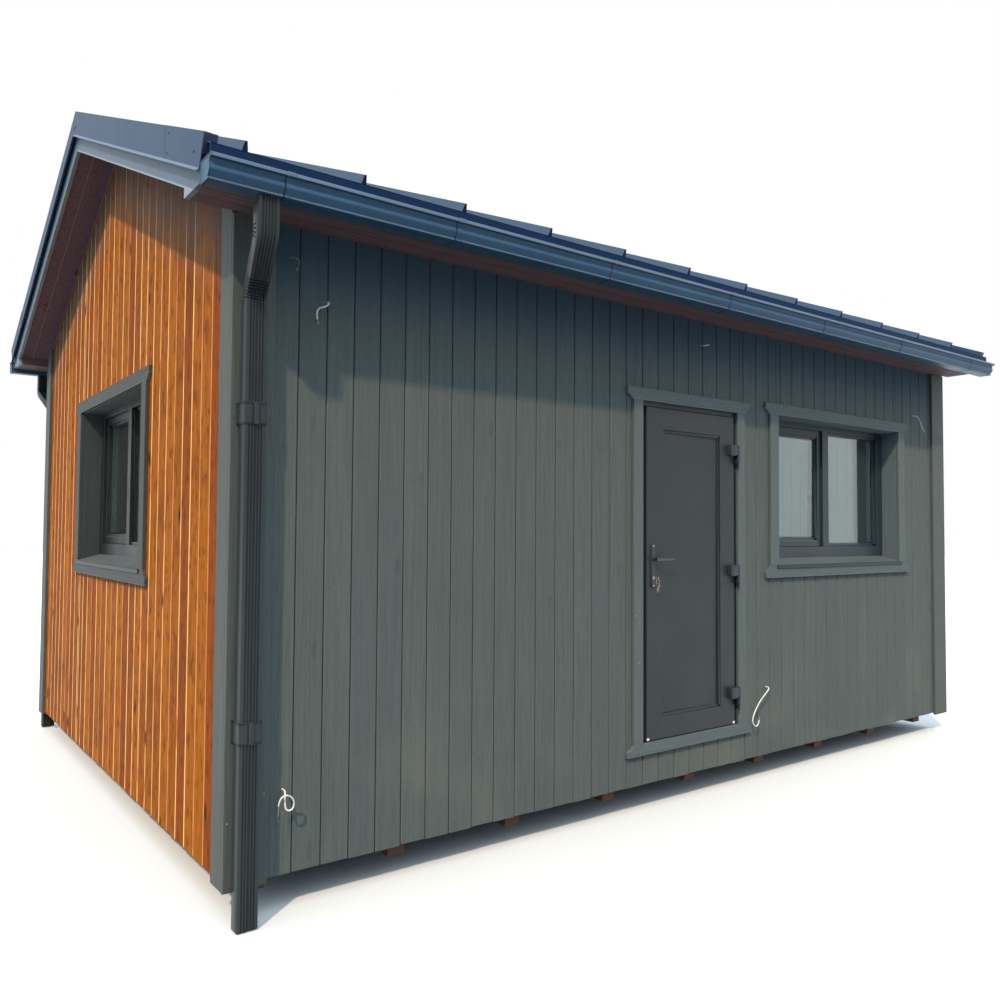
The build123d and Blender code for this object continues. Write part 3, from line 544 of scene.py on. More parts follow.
# Corner boards
# Two planed boards meet at each corner, painted like the long walls, with worn and spattered paint.
# The wide one lies on the long wall and laps the edge of the other on the gable.
corner_low, corner_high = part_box("corner_boards")
corner_wide = 0.170
corner_narrow = 0.130
corner_thick = 0.022
corner_ease = 0.003
soffit_level = 3.003


def planed_paint(name, along, dark, light, specks=0.0):
    """Painted planed timber, with chance pale specks of another paint."""
    material, tree, shader = new_finish(name, Roughness=0.66)
    figure = figure_at(tree, place_along(tree, along), 0.3)
    coat = mixed(tree, figure["Grain"], dark, light)
    coat = mixed(tree, ramp(tree, figure["Knot"], 0, 1, 0, 0.35), coat, srgb(66, 70, 70))
    from_speck, chance = cells(tree, object_place(tree), 38.0)
    few = maths(tree, "LESS_THAN", chance, specks)
    speck = maths(tree, "MULTIPLY", ramp(tree, from_speck, 0.16, 0.08), few)
    coat = mixed(tree, speck, coat, srgb(166, 170, 166))
    tree.links.new(coat, shader.inputs["Base Color"])
    bump(tree, shader, figure["Height"], 0.25, 0.0015)
    return material


def slab(bm, low, high):
    """A square-edged block between two corners; gives back its vertices."""
    corners = bmesh.ops.create_cube(bm, size=1.0)["verts"]
    low, high = Vector(low), Vector(high)
    bmesh.ops.scale(bm, vec=high - low, verts=corners)
    bmesh.ops.translate(bm, vec=(low + high) / 2, verts=corners)
    return corners


def block(bm, low, high, edge, segments):
    """A block between two corners with eased edges."""
    ease(bm, edges_of(slab(bm, low, high)), edge, segments)


corner_paint = planed_paint("corner board paint", "Z", srgb(66, 72, 71), srgb(83, 90, 87), 0.10)
for number, (end, outward) in enumerate(((house_left, -1), (house_right, 1))):
    bm = bmesh.new()
    for wall in (house_front, house_back):
        side = math.copysign(1, wall)
        xs = sorted((end + outward * corner_thick, end - outward * corner_wide))
        ys = sorted((wall, wall + side * corner_thick))
        block(bm, (xs[0], ys[0], corner_low.z), (xs[1], ys[1], soffit_level), corner_ease, 2)
        xs = sorted((end, end + outward * corner_thick))
        ys = sorted((wall, wall - side * corner_narrow))
        narrow = slab(bm, (xs[0], ys[0], corner_low.z + 0.002), (xs[1], ys[1], soffit_level))
        for corner in narrow:
            if corner.co.z > soffit_level - 0.001:
                corner.co.z = corner_high.z - (abs(corner.co.y) - abs(wall) + corner_narrow) * roof_fall
        ease(bm, edges_of(narrow), corner_ease, 2)
    name = ("left", "right")[number] + "_corner_boards"
    piece(bm, name, [corner_paint], "house", ("corner_boards",))


# Roof metal and its edges
# Standing-seam sheet with a ridge cap, verge flashings and barge strips, all in matt coated steel.
# The flashings are lapped and riveted; the eaves and the gable overhangs are lined with stained boards in a
# paler violet cast, painted skylight of the shade.
roof_cosine = math.cos(math.atan(roof_fall))
roof_sine = roof_fall * roof_cosine
roof_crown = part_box("left_barge_boards")[1].z
verge_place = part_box("left_barge_flashings")[0].x + 0.012
flashing_top, flashing_foot, flashing_kick, flashing_flange = 0.035, -0.112, 0.012, 0.055
flashing_end = 2.505 / roof_cosine
lap_place = 2.000
lap_sheet = 0.0011
rivet_radius = 0.0055
hem_start = 0.107
lap_shadow_width, lap_shadow_foot, lap_shadow_proud = 0.010, -0.098, 0.0006
end_flap = (0.002, -0.045)
rivet_places = ((2.625, -0.045), (0.045, -0.055), (2.215, 0.005), (2.235, -0.075))


def coated_steel(name, base, roughness=0.42, stain=0.25, upright=None, hem=None, sheen=0.28):
    """A matt coil coating with faint streaks of dirt that run down; on uprights a painted navy shade, paler
    on those that face the gables, and a painted highlight on the hem.
    """
    material, tree, shader = new_finish(name, Roughness=roughness, Specular_IOR_Level=sheen)
    place = object_place(tree)
    dirt = noise(tree, stretched(tree, place, (9.0, 9.0, 1.2)), 1.0, 6.0)
    cloud = noise(tree, place, 3.0, 3.0)
    coat = mixed(tree, cloud, toned(base, 0.82), toned(base, 1.12))
    coat = mixed(tree, ramp(tree, dirt, 0.52, 0.72, 0, stain), coat, srgb(120, 116, 106))
    # Painted shade: upright faces take the given dark navy; those facing the gables take a paler blue.
    if upright:
        facing = axes_of(tree, add(tree, "ShaderNodeNewGeometry").outputs["Normal"])
        coat = mixed(tree, ramp(tree, facing["Z"], 0.35, 0.75), upright, coat)
        flank = maths(tree, "ABSOLUTE", facing["X"])
        coat = mixed(tree, ramp(tree, flank, 0.5, 0.8), coat, srgb(74, 94, 118))
    # Painted highlight: a pale band along the flashing's kicked hem.
    if hem:
        below = maths(tree, "SUBTRACT", roof_crown, slope_level(tree, axes_of(tree, place)))
        coat = mixed(tree, ramp(tree, below, hem_start, hem_start + 0.002), coat, hem)
    tree.links.new(coat, shader.inputs["Base Color"])
    dull = ramp(tree, dirt, 0.3, 0.7, roughness - 0.25 * stain, roughness + 0.5 * stain)
    tree.links.new(dull, shader.inputs["Roughness"])
    bump(tree, shader, cloud, 0.03, 0.004)
    return material


def ribbed_strip(name, base, edge, pitch):
    """A barge strip in lapped lengths with dark upright laps and a pale hem along its lower edge."""
    material, tree, shader = new_finish(name, Roughness=0.5)
    place = object_place(tree)
    axes = axes_of(tree, place)
    turn = maths(tree, "FRACT", maths(tree, "DIVIDE", axes["Y"], pitch))
    rib = ramp(tree, maths(tree, "ABSOLUTE", maths(tree, "SUBTRACT", turn, 0.5)), 0.490, 0.496)
    cloud = noise(tree, place, 5.0, 4.0)
    coat = mixed(tree, cloud, toned(base, 0.80), base)
    coat = mixed(tree, maths(tree, "MULTIPLY", rib, 0.7), coat, srgb(48, 58, 70))
    below = maths(tree, "SUBTRACT", roof_crown, slope_level(tree, axes))
    coat = mixed(tree, ramp(tree, below, 0.197, 0.201), coat, edge)
    tree.links.new(coat, shader.inputs["Base Color"])
    bump(tree, shader, rib, 0.4, 0.002)
    return material


# The roof sheet's navy uprights are painted shade, and the flashing's pale hem a painted highlight.
roof_steel = coated_steel("roof sheet coating", srgb(48, 72, 104), 0.52, 0.08, srgb(14, 42, 74), sheen=0.1)
flashing_steel = coated_steel("flashing coating", srgb(50, 77, 108), 0.5, 0.03, None, srgb(94, 118, 142))
strip_steel = ribbed_strip("barge strip coating", srgb(90, 112, 134), srgb(140, 158, 174), 0.46)
for node in ("front_roof_sheet", "back_roof_sheet", "ridge_cap"):
    paint(node, roof_steel)
for node in ("left_barge_flashings", "right_barge_flashings"):
    paint(node, flashing_steel)
for node in ("left_barge_boards", "right_barge_boards"):
    paint(node, strip_steel)


def on_slope(side, x, along, up):
    """A point beside a roof slope: along it from the ridge, and up from its deck."""
    out, height = along * roof_cosine + up * roof_sine, roof_crown - along * roof_sine + up * roof_cosine
    return (x, side * out, height)


def at_verge(hand, inward):
    return hand * (abs(verge_place) - inward)


bm = bmesh.new()
for hand in (-1, 1):
    for side in (-1, 1):
        kick_end, kick_top = flashing_kick - 0.0012, flashing_foot + flashing_kick
        lap = (
            (0.5 * flashing_flange, flashing_top + lap_sheet), (-lap_sheet, flashing_top + lap_sheet),
            (-lap_sheet, kick_top), (-kick_end, kick_top - kick_end + lap_sheet),
        )
        near, far = [], []
        for x, up in lap:
            plumb = (lap_place - up * roof_sine) / roof_cosine
            near.append(bm.verts.new(on_slope(side, at_verge(hand, x), plumb, up)))
            far.append(bm.verts.new(on_slope(side, at_verge(hand, x), flashing_end, up)))
        sheets = [bm.faces.new((near[i], near[i + 1], far[i + 1], far[i])) for i in range(len(lap) - 1)]
        bmesh.ops.recalc_face_normals(bm, faces=sheets)
        inside = 0.8 * lap_sheet * (1 if sheets[1].normal.x * hand > 0 else -1)
        bmesh.ops.solidify(bm, geom=sheets, thickness=inside)
        # Painted shadow: a thin dark strip stands just proud along each lap's edge.
        gap = []
        for shift, up in ((0, flashing_top), (0, lap_shadow_foot), (1, lap_shadow_foot), (1, flashing_top)):
            plumb = (lap_place - shift * lap_shadow_width - up * roof_sine) / roof_cosine
            gap.append(bm.verts.new(on_slope(side, at_verge(hand, -lap_shadow_proud), plumb, up)))
        moved = push(bm, bm.faces.new(gap), (-hand * 0.0004, 0, 0))
        finish_faces(faces_of(gap + moved), 2)
        inner, foot = end_flap
        end = ((inner, foot), (flashing_flange, foot), (flashing_flange, flashing_top), (inner, flashing_top))
        corners = [on_slope(side, at_verge(hand, x), flashing_end - 0.0002, up) for x, up in end]
        flap = bm.faces.new([bm.verts.new(corner) for corner in corners])
        moved = push(bm, flap, Vector((0, -side * roof_cosine, roof_sine)) * 0.002)
        finish_faces(faces_of(moved) + [flap], 3)
        for along, up in rivet_places:
            flat = Matrix.Translation(on_slope(side, at_verge(hand, -0.001), along, up))
            flat = flat @ Matrix.Diagonal((0.6, 1, 1, 1))
            head = bmesh.ops.create_uvsphere(
                bm, u_segments=12, v_segments=8, radius=rivet_radius, matrix=flat,
            )["verts"]
            finish_faces(faces_of(head), 1)
rivet_steel = coated_steel("rivet coating", srgb(34, 42, 52), 0.4, 0.05)
end_steel = coated_steel("flashing end coating", srgb(36, 54, 80), 0.45, 0.05)
lap_shade = coated_steel("lap shade", srgb(24, 32, 42), 0.6, 0.05)
lap_finishes = [flashing_steel, rivet_steel, lap_shade, end_steel]
piece(bm, "verge_laps_and_rivets", lap_finishes, "house", (), 40)
# Red-brown stained soffit boards, painted paler and violet as painted blue skylight in the shade of the
# overhangs.
sky_tinted_eave_lining = lined_boards("eave lining with painted skylight", "X", "Y", 0.092, srgb(112, 88, 94), srgb(146, 118, 124))
sky_tinted_verge_tones = (srgb(118, 98, 110), srgb(152, 132, 146), srgb(172, 156, 160))
sky_tinted_verge_lining = lined_boards("verge lining with painted skylight", "Y", "X", 0.125, *sky_tinted_verge_tones)
for node in ("front_eave_soffit", "back_eave_soffit", "front_fascia", "back_fascia"):
    paint(node, sky_tinted_eave_lining)
for node in ("left_gable_soffit", "right_gable_soffit"):
    paint(node, sky_tinted_verge_lining)


# Gutters
# Rolled steel gutters with an ogee front and a folded lip hang under both eaves on narrow straps.
# Sheet lengths are lapped at the straps, and a flanged cap closes each end.
gutter_back, gutter_floor = 2.481, 2.971
gutter_left, gutter_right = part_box("front_gutter")[0].x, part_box("front_gutter")[1].x
gutter_profile = (
    (0.0, 0.094), (0.0, 0.0), (0.082, 0.0), (0.0875, 0.0015), (0.0875, 0.008), (0.083, 0.011), (0.094, 0.024),
    (0.1025, 0.036), (0.1035, 0.046), (0.100, 0.056), (0.0985, 0.066), (0.104, 0.077),
    (0.1205, 0.0785), (0.1175, 0.095), (0.107, 0.095), (0.107, 0.088),
)
gutter_sheet = 0.0012
gutter_fold = 0.0018
cap_flange = 0.004
strap_places = (-2.9205, -2.1025, -1.1275, -0.1525, 0.8225, 1.7975, 2.8825)
strap_width = 0.034
strap_sheet = 0.0013
joint_strip = 0.0060
foot_bead_out, foot_bead_top = 0.0825, 0.009
lip_out, lip_foot = 0.1105, 0.0785
tab_out, tab_up = (0.1165, 0.1212), (0.0775, 0.0956)


def rolled(bm, outline, draw, rounding):
    """A sheet folded to an outline and drawn along a vector, with its folds rounded."""
    corners = [bm.verts.new(point) for point in outline]
    folds = [bm.edges.new(pair) for pair in zip(corners, corners[1:])]
    drawn = bmesh.ops.extrude_edge_only(bm, edges=folds)["geom"]
    bmesh.ops.translate(bm, vec=draw, verts=verts_in(drawn))
    faces = [part for part in drawn if isinstance(part, bmesh.types.BMFace)]
    long_edges = dict.fromkeys(edge for face in faces for edge in face.edges if len(edge.link_faces) == 2)
    ease(bm, list(long_edges), rounding, 4)


def folded_sheet(bm, outline, draw, rounding, thickness, outward):
    """A rolled sheet given its thickness on the side that outward points to, joined to a mesh."""
    sheet = bmesh.new()
    rolled(sheet, outline, draw, rounding)
    bmesh.ops.recalc_face_normals(sheet, faces=sheet.faces[:])
    agree = sum(face.normal.dot(Vector(outward)) * face.calc_area() for face in sheet.faces)
    bmesh.ops.solidify(sheet, geom=sheet.faces[:], thickness=-thickness if agree > 0 else thickness)
    bmesh.ops.recalc_face_normals(sheet, faces=sheet.faces[:])
    join(bm, sheet)


def gutter_outline(side, points, x):
    return [(x, side * (gutter_back + out), gutter_floor + up) for out, up in points]


gutter_steel = coated_steel("gutter coating", srgb(59, 95, 125), 0.42, 0.08)
gutter_edge_highlight = coated_steel("gutter edge painted highlight", srgb(92, 112, 136), 0.38, 0.1)
for side, place in ((-1, "front"), (1, "back")):
    bm = bmesh.new()
    inset = 0.002
    start = gutter_outline(side, gutter_profile, gutter_left + inset)
    run = (gutter_right - gutter_left - 2 * inset, 0, 0)
    folded_sheet(bm, start, run, gutter_fold, gutter_sheet, (0, -side, 1))
    for end, inward in ((gutter_left, 1), (gutter_right, -1)):
        plate = [bm.verts.new(point) for point in gutter_outline(side, gutter_profile[:-1], end)]
        push(bm, bm.faces.new(plate), (inward * 1.5 * cap_flange, 0, 0))
        outer = [face for face in bm.faces if abs(face.calc_center_median().x - end) < 1e-6]
        bmesh.ops.recalc_face_normals(bm, faces=bm.faces[:])
        bmesh.ops.inset_region(bm, faces=outer, thickness=cap_flange, depth=-cap_flange, use_even_offset=True)
    # Painted highlight: the foot bead and the folded lip take a paler coat.
    for face in bm.faces:
        middle = face.calc_center_median()
        out, up = abs(middle.y) - gutter_back, middle.z - gutter_floor
        if (out > foot_bead_out and up < foot_bead_top) or (out > lip_out and up > lip_foot):
            face.material_index = 1
    finish = [gutter_steel, gutter_edge_highlight]
    piece(bm, place + "_gutter_sheet", finish, "house", (place + "_gutter",), 40)
bm = bmesh.new()
for side in (-1, 1):
    for strap in strap_places:
        start = strap - strap_width / 2
        outline = gutter_outline(side, gutter_profile[1:-2], start - joint_strip)
        folded_sheet(bm, outline, (joint_strip, 0, 0), gutter_fold, 0.5 * strap_sheet, (0, side, -1))
        outline = gutter_outline(side, gutter_profile[1:-2], start)
        folded_sheet(bm, outline, (strap_width, 0, 0), gutter_fold, strap_sheet, (0, side, -1))
        tab = sorted(side * (gutter_back + out) for out in tab_out)
        foot, top = (gutter_floor + up for up in tab_up)
        block(bm, (start - 0.001, tab[0], foot), (start + strap_width + 0.001, tab[1], top), 0.001, 2)
    # The clip tabs over the lip take the same painted highlight; strips at the strap edges are dark joints.
    for face in bm.faces:
        middle = face.calc_center_median()
        nearest = min(strap_places, key=lambda place: abs(place - middle.x))
        if middle.z > gutter_floor + tab_up[0] + 0.0001 and abs(middle.y) > gutter_back + tab_out[0] - 0.0005:
            face.material_index = 1
        elif middle.x < nearest - strap_width / 2 - 0.0005:
            face.material_index = 2
joint_shade = coated_steel("strap joint shade", srgb(20, 28, 38), 0.6, 0.05)
strap_finishes = [gutter_steel, gutter_edge_highlight, joint_shade]
piece(bm, "gutter_straps_and_clips", strap_finishes, "house", ("gutter_straps",), 40)


# Downpipes
# A fluted rectangular pipe drops from each gutter and goes back to the wall in two crimped elbows.
# It is folded from coated sheet, and two bands with a bolted lug hold it to the corner board.
outlet_x, outlet_y = -2.9925, 2.521
pipe_x, pipe_y = -2.9375, 2.264
pipe_width, pipe_depth = 0.090, 0.062
pipe_corner = 0.006
flute_count = 5
flute_pitch = 0.0125
flute_depth = 0.0038
elbow_top = gutter_floor - 0.150
elbow_height = 0.170
elbow_radius = 0.070
elbow_steps = 5
elbow_turn = math.atan2(outlet_y - pipe_y, elbow_height)
crimp_depth = 0.0085
crimp_half = math.radians(3.0)
crimp_row = 4
crimp_pitch = 0.015
crimp_gap = 0.0030
pipe_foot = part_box("front_downpipe")[0].z
clip_levels = (0.810, 2.140)
clip_height = 0.096
clip_sheet = 0.002
clip_ear = 0.008
clip_play = 0.0015
rib_rise, rib_inset, rib_width = 0.0018, 0.003, 0.006
lug_half, lug_out = 0.011, (0.003, 0.0135)
bolt_shift, bolt_radius, bolt_length = 0.024, 0.0055, 0.022


def pipe_section():
    """Half the pipe's outline, as (across, out) points along its fluted front from left to right."""
    half_width, half_depth = pipe_width / 2, pipe_depth / 2
    turn = [(-half_width, 0.0), (-half_width, half_depth - pipe_corner)]
    turn.append((-half_width + 0.3 * pipe_corner, half_depth - 0.3 * pipe_corner))
    turn.append((-half_width + pipe_corner, half_depth))
    flutes = []
    for number in range(flute_count):
        middle = (number - (flute_count - 1) / 2) * flute_pitch
        for shift, sunk in ((-0.34, 0.0), (-0.16, 1.0), (0.16, 1.0), (0.34, 0.0)):
            flutes.append((middle + shift * flute_pitch, half_depth - sunk * flute_depth))
    return turn + flutes + [(-across, out) for across, out in turn[::-1]]


def pipe_stations():
    """Places down the pipe as (distance from the house, height, lean, pinch, growth)."""
    reach = elbow_radius * math.tan(elbow_turn / 2)
    stations = [(outlet_y, gutter_floor + 0.001, 0.0, 0, 0.0)]
    for upper in (True, False):
        marks = []
        for step in range(elbow_steps):
            angle = elbow_turn * step / (elbow_steps - 1)
            if 0 < step < elbow_steps - 1 or upper == (step == 0):
                marks += [(angle - crimp_half, 0), (angle, 1), (angle + crimp_half, 0)]
            else:
                marks.append((angle, 0))
        if not upper:
            aside = pipe_y + elbow_radius * (1 - math.cos(elbow_turn))
            level = elbow_top - elbow_height - reach + elbow_radius * math.sin(elbow_turn)
            for step in range(crimp_row, 0, -1):
                for shift, pinched in ((crimp_gap, 0), (0.0, 1), (-crimp_gap, 0)):
                    along = step * crimp_pitch + shift
                    place = (aside + along * math.sin(elbow_turn), level + along * math.cos(elbow_turn))
                    stations.append((*place, elbow_turn, pinched, 0.0))
        for angle, pinched in marks if upper else marks[::-1]:
            aside = elbow_radius * (1 - math.cos(angle))
            fall = elbow_radius * math.sin(angle)
            if upper:
                stations.append((outlet_y - aside, elbow_top + reach - fall, angle, -pinched, 0.0))
            else:
                level = elbow_top - elbow_height - reach + fall
                stations.append((pipe_y + aside, level, angle, pinched, 0.0))
    lowest = stations[-1][1]
    stations += [(pipe_y, lowest - 0.012, 0.0, 0, 0.0), (pipe_y, lowest - 0.012, 0.0, 0, 0.0014)]
    return stations + [(pipe_y, pipe_foot, 0.0, 0, 0.0014), (pipe_y, pipe_foot, 0.0, 0, -0.001)]


def fluted_pipe(side):
    bm = bmesh.new()
    half = pipe_section()
    section = half + [(-across, -out) for across, out in half[1:-1]]
    ring = [bm.verts.new((across, out, 0)) for across, out in section]
    edges = [bm.edges.new((ring[i - 1], ring[i])) for i in range(len(ring))]
    sideways = (outlet_x - pipe_x) / (outlet_y - pipe_y)
    creased, grooved = [], []
    for number, (y, z, angle, pinch, growth) in enumerate(pipe_stations()):
        if number:
            ring, edges = next_ring(bm, edges)
        for vert, (across, out) in zip(ring, section):
            sunk = abs(abs(out) - pipe_depth / 2 + flute_depth) < 1e-6
            if pinch:
                creased.append(vert)
                toward = max(0.0, min(1.0, (pinch * out / pipe_depth * 2 + 0.25) / 0.6))
                across *= 1 - toward * crimp_depth / pipe_width * 2
                out -= pinch * toward * crimp_depth
            if sunk:
                grooved.append(vert)
            across += math.copysign(growth, across)
            out += math.copysign(growth, out)
            shift = y + out * math.cos(angle)
            x = pipe_x + sideways * (y - pipe_y) + across
            vert.co = (x, side * shift, z - out * math.sin(angle))
    # Painted shade: faces inside the crimps take a dark crimp coat, and the flute floors a dark flute coat.
    for vert in creased:
        nearest = min(pipe_stations(), key=lambda mark: (mark[3] == 0, abs(mark[1] - vert.co.z)))
        if (abs(vert.co.y) - nearest[0]) * nearest[3] > 0:
            finish_faces(vert.link_faces, 1)
    grooved = set(grooved)
    for face in bm.faces:
        if face.material_index == 0 and grooved.issuperset(face.verts):
            face.material_index = 2
    return bm


pipe_steel = coated_steel("downpipe coating", srgb(44, 52, 55), 0.34, 0.05)
painted_flute_shade = coated_steel("flute shade", srgb(26, 29, 31), 0.5, 0.04)
crimp_shade_and_rib_tone = coated_steel("crimp shade", srgb(22, 25, 27), 0.5, 0.04)
for side, place in ((-1, "front"), (1, "back")):
    name, replaced = place + "_fluted_downpipe", (place + "_downpipe",)
    finishes = [pipe_steel, crimp_shade_and_rib_tone, painted_flute_shade]
    piece(fluted_pipe(side), name, finishes, "house", replaced, 35)
bm = bmesh.new()
board_face = 2.212
pipe_face = pipe_y + pipe_depth / 2
half_band = pipe_width / 2 + clip_play
for side in (-1, 1):
    for level in clip_levels:
        low, high = level - clip_height / 2, level + clip_height / 2
        rib_low, rib_high = low + rib_inset, high - rib_inset
        ribs = ((rib_rise, rib_low, rib_low + rib_width), (rib_rise, rib_high - rib_width, rib_high))
        for grow, foot, top in ((0.0, low, high), *ribs):
            ear = pipe_width / 2 + clip_ear
            near, wide = pipe_face + clip_play + grow, half_band + grow
            band = (
                (pipe_x - ear, board_face + grow), (pipe_x - wide, board_face + grow), (pipe_x - wide, near),
                (pipe_x + wide, near), (pipe_x + wide, board_face + grow), (pipe_x + ear, board_face + grow),
            )
            outline = [(x, side * y, foot) for x, y in band]
            before = len(bm.faces)
            folded_sheet(bm, outline, (0, 0, top - foot), 0.004, clip_sheet, (0, side, 0))
            bm.faces.ensure_lookup_table()
            for number in range(before, len(bm.faces)):
                bm.faces[number].material_index = 1 if grow else 0
        face = sorted(side * (pipe_face + out) for out in lug_out)
        lug = (pipe_x - lug_half, face[0], low + 0.002)
        block(bm, lug, (pipe_x + lug_half, face[1], high - 0.002), 0.002, 2)
        for bolt in (level - bolt_shift, level + bolt_shift):
            lying = Matrix.Translation((pipe_x, side * (pipe_face + 0.0085), bolt))
            lying = lying @ Matrix.Rotation(math.pi / 2, 4, "Y")
            head = bmesh.ops.create_cone(
                bm, cap_ends=True, segments=12, radius1=bolt_radius, radius2=bolt_radius, depth=bolt_length,
                matrix=lying,
            )["verts"]
            ease(bm, [edge for edge in edges_of(head) if len(edge.link_faces) == 2], 0.0008, 1)
piece(bm, "downpipe_bands", [pipe_steel, crimp_shade_and_rib_tone], "house", ("downpipe_clips",), 40)


# Door frame and trim
# A plastic frame in anthracite foil stands in the opening, and planed painted boards cover the gap round it.
# The head and the sole run past the jambs, with coved ears.
jamb_outer = (-0.5972, 0.4518)
jamb_inner = (-0.5192, 0.3738)
head_levels = (2.443, 2.518)
sole_levels = (0.404, 0.335)
trim_thick = 0.022
trim_ear = 0.052
trim_ease = 0.003


def prism(bm, lay, outline, near, far):
    """A flat outline of (along, up) points carried from one depth to another; gives its vertices."""
    face = bm.faces.new([bm.verts.new(lay(along, near, up)) for along, up in outline])
    moved = push(bm, face, lay(0, far, 0) - lay(0, near, 0))
    return list(face.verts) + moved


def coved_board(start, end, plain, eared, ear):
    """A trim board's outline, from its plain edge to the edge that two coved ears make longer."""
    tall = eared - plain
    left_end = [(start, plain), (start - 0.42 * ear, plain + 0.30 * tall)]
    left_end += [(start - 0.82 * ear, plain + 0.42 * tall), (start - ear, plain + 0.55 * tall)]
    left_end.append((start - ear, eared))
    return left_end + [(end - along + start, up) for along, up in left_end[::-1]]


def straight(start, end, foot, top):
    return [(start, foot), (end, foot), (end, top), (start, top)]


def trim_boards(name, lay, boards, finishes, replaced):
    """Eased boards, each an outline with the number of its finish; eased edges turned downward are painted
    paler.
    """
    bm = bmesh.new()
    for outline, finish in boards:
        board = prism(bm, lay, outline, -trim_thick, 0.0)
        finish_faces(faces_of(board), finish)
        ease(bm, edges_of(board), trim_ease, 2)
    bmesh.ops.recalc_face_normals(bm, faces=bm.faces[:])
    for face in bm.faces:
        if -0.97 < face.normal.z < -0.25:
            face.material_index = len(finishes) - 1
    return piece(bm, name, finishes, "house", replaced)


def on_front(along, inward, up):
    return Vector((along, house_front + inward, up))


jamb_paint = planed_paint("jamb board paint", "Z", srgb(76, 85, 86), srgb(93, 101, 102), 0.03)
head_paint = planed_paint("head board paint", "X", srgb(76, 85, 86), srgb(93, 101, 102), 0.03)
pale_lower_edge_paint = planed_paint("pale lower board edge", "X", srgb(122, 134, 136), srgb(150, 160, 160))
jamb_levels = (sole_levels[0] + 0.0005, head_levels[0] - 0.0005)
trim_boards("door_trim_boards", on_front, (
    (straight(jamb_outer[0], jamb_inner[0], *jamb_levels), 0),
    (straight(jamb_inner[1], jamb_outer[1], *jamb_levels), 0),
    (coved_board(*jamb_outer, *head_levels, trim_ear), 1),
    (coved_board(*jamb_outer, *sole_levels, trim_ear), 1),
), [jamb_paint, head_paint, pale_lower_edge_paint], ("door_trim",))


def grained_foil(name, base, roughness=0.46):
    """Plastic under a foil with a fine pressed grain and faint cloudy wear."""
    material, tree, shader = new_finish(name, Roughness=roughness, Specular_IOR_Level=0.35)
    place = object_place(tree)
    cloud = noise(tree, place, 4.0, 4.0)
    grain = noise(tree, place, 900.0, 2.0)
    tone = mixed(tree, cloud, toned(base, 0.85), toned(base, 1.18))
    tree.links.new(tone, shader.inputs["Base Color"])
    dull = ramp(tree, cloud, 0.3, 0.7, roughness - 0.05, roughness + 0.07)
    tree.links.new(dull, shader.inputs["Roughness"])
    bump(tree, shader, grain, 0.12, 0.0006)
    return material


door_foil = grained_foil("door foil", srgb(40, 46, 49))
paint("door_frame", door_foil)


# Door leaf
# Four foiled plastic members, welded at mitred corners, hold a flat panel with sloping beads.
# Small white packers show at the two bottom corners.
leaf_ends = (-0.4822, 0.3398)
leaf_levels = (0.411, 2.409)
leaf_face, leaf_back = -2.202, -2.132
stile_width, rail_width = 0.140, 0.130
bead_width = 0.016
panel_recess = 0.016
weld_ease = 0.0012
packer_in, packer_out, packer_up = (0.001, 0.019), (-0.003, 0.004), (0.002, 0.017)


def mitred(bm, lay, ends, levels, sides, rails, near, far, edge, slope=0.0):
    """Four bars with mitred corners; slope sinks the inner edge of their faces."""
    (x0, x1), (z0, z1) = ends, levels
    (wl, wr), (wf, wh) = sides, rails
    outer = ((x0, z0), (x1, z0), (x1, z1), (x0, z1))
    inner = ((x0 + wl, z0 + wf), (x1 - wr, z0 + wf), (x1 - wr, z1 - wh), (x0 + wl, z1 - wh))
    for i in range(4):
        j = (i + 1) % 4
        bar = prism(bm, lay, (outer[i], outer[j], inner[j], inner[i]), near, far)
        if slope:
            bmesh.ops.translate(bm, vec=lay(0, slope, 0) - lay(0, 0, 0), verts=bar[2:4])
        ease(bm, edges_of(bar), edge, 2)


def in_place(along, inward, up):
    return Vector((along, inward, up))


white_plastic = two_tone("white plastic", 0.35, 60.0, 3.0, srgb(214, 214, 210), srgb(238, 238, 235))
bm = bmesh.new()
stiles, rails = (stile_width, stile_width), (rail_width, rail_width)
mitred(bm, in_place, leaf_ends, leaf_levels, stiles, rails, leaf_face, leaf_back, weld_ease)
panel_ends = (leaf_ends[0] + stile_width, leaf_ends[1] - stile_width)
panel_levels = (leaf_levels[0] + rail_width, leaf_levels[1] - rail_width)
beads = (bead_width, bead_width)
bead_depths = (leaf_face + 0.003, leaf_face + panel_recess - 0.0005)
mitred(bm, in_place, panel_ends, panel_levels, beads, beads, *bead_depths, 0.0008, 0.008)
piece(bm, "door_leaf_members", [door_foil], "door", ("door_leaf",))
paint("door_panel", door_foil)
bm = bmesh.new()
for corner, inward in zip(leaf_ends, (1, -1)):
    across = sorted(corner + inward * share for share in packer_in)
    ends = zip(across, packer_out, packer_up)
    low, high = ((x, leaf_face + out, leaf_levels[0] + up) for x, out, up in ends)
    block(bm, low, high, 0.0015, 2)
piece(bm, "door_corner_packers", [white_plastic], "door")


# Door hinges
# Three screwed-on hinges: a block with the upper barrel on the leaf, and a lower barrel on the frame.
# They are die-cast and coated dark grey, with a steel adjuster under the barrel.
hinge_x, hinge_y = 0.3558, -2.228
hinge_centres = (0.589, 1.380, 2.165)
hinge_half = 0.061
hinge_joint, joint_gap = 0.0102, 0.0004
barrel_radius, barrel_ease = 0.009, 0.0015
arm_inset = 0.006
hinge_block = (0.2728, 0.3328)
adjuster_radius, adjuster_drop = 0.0055, 0.030


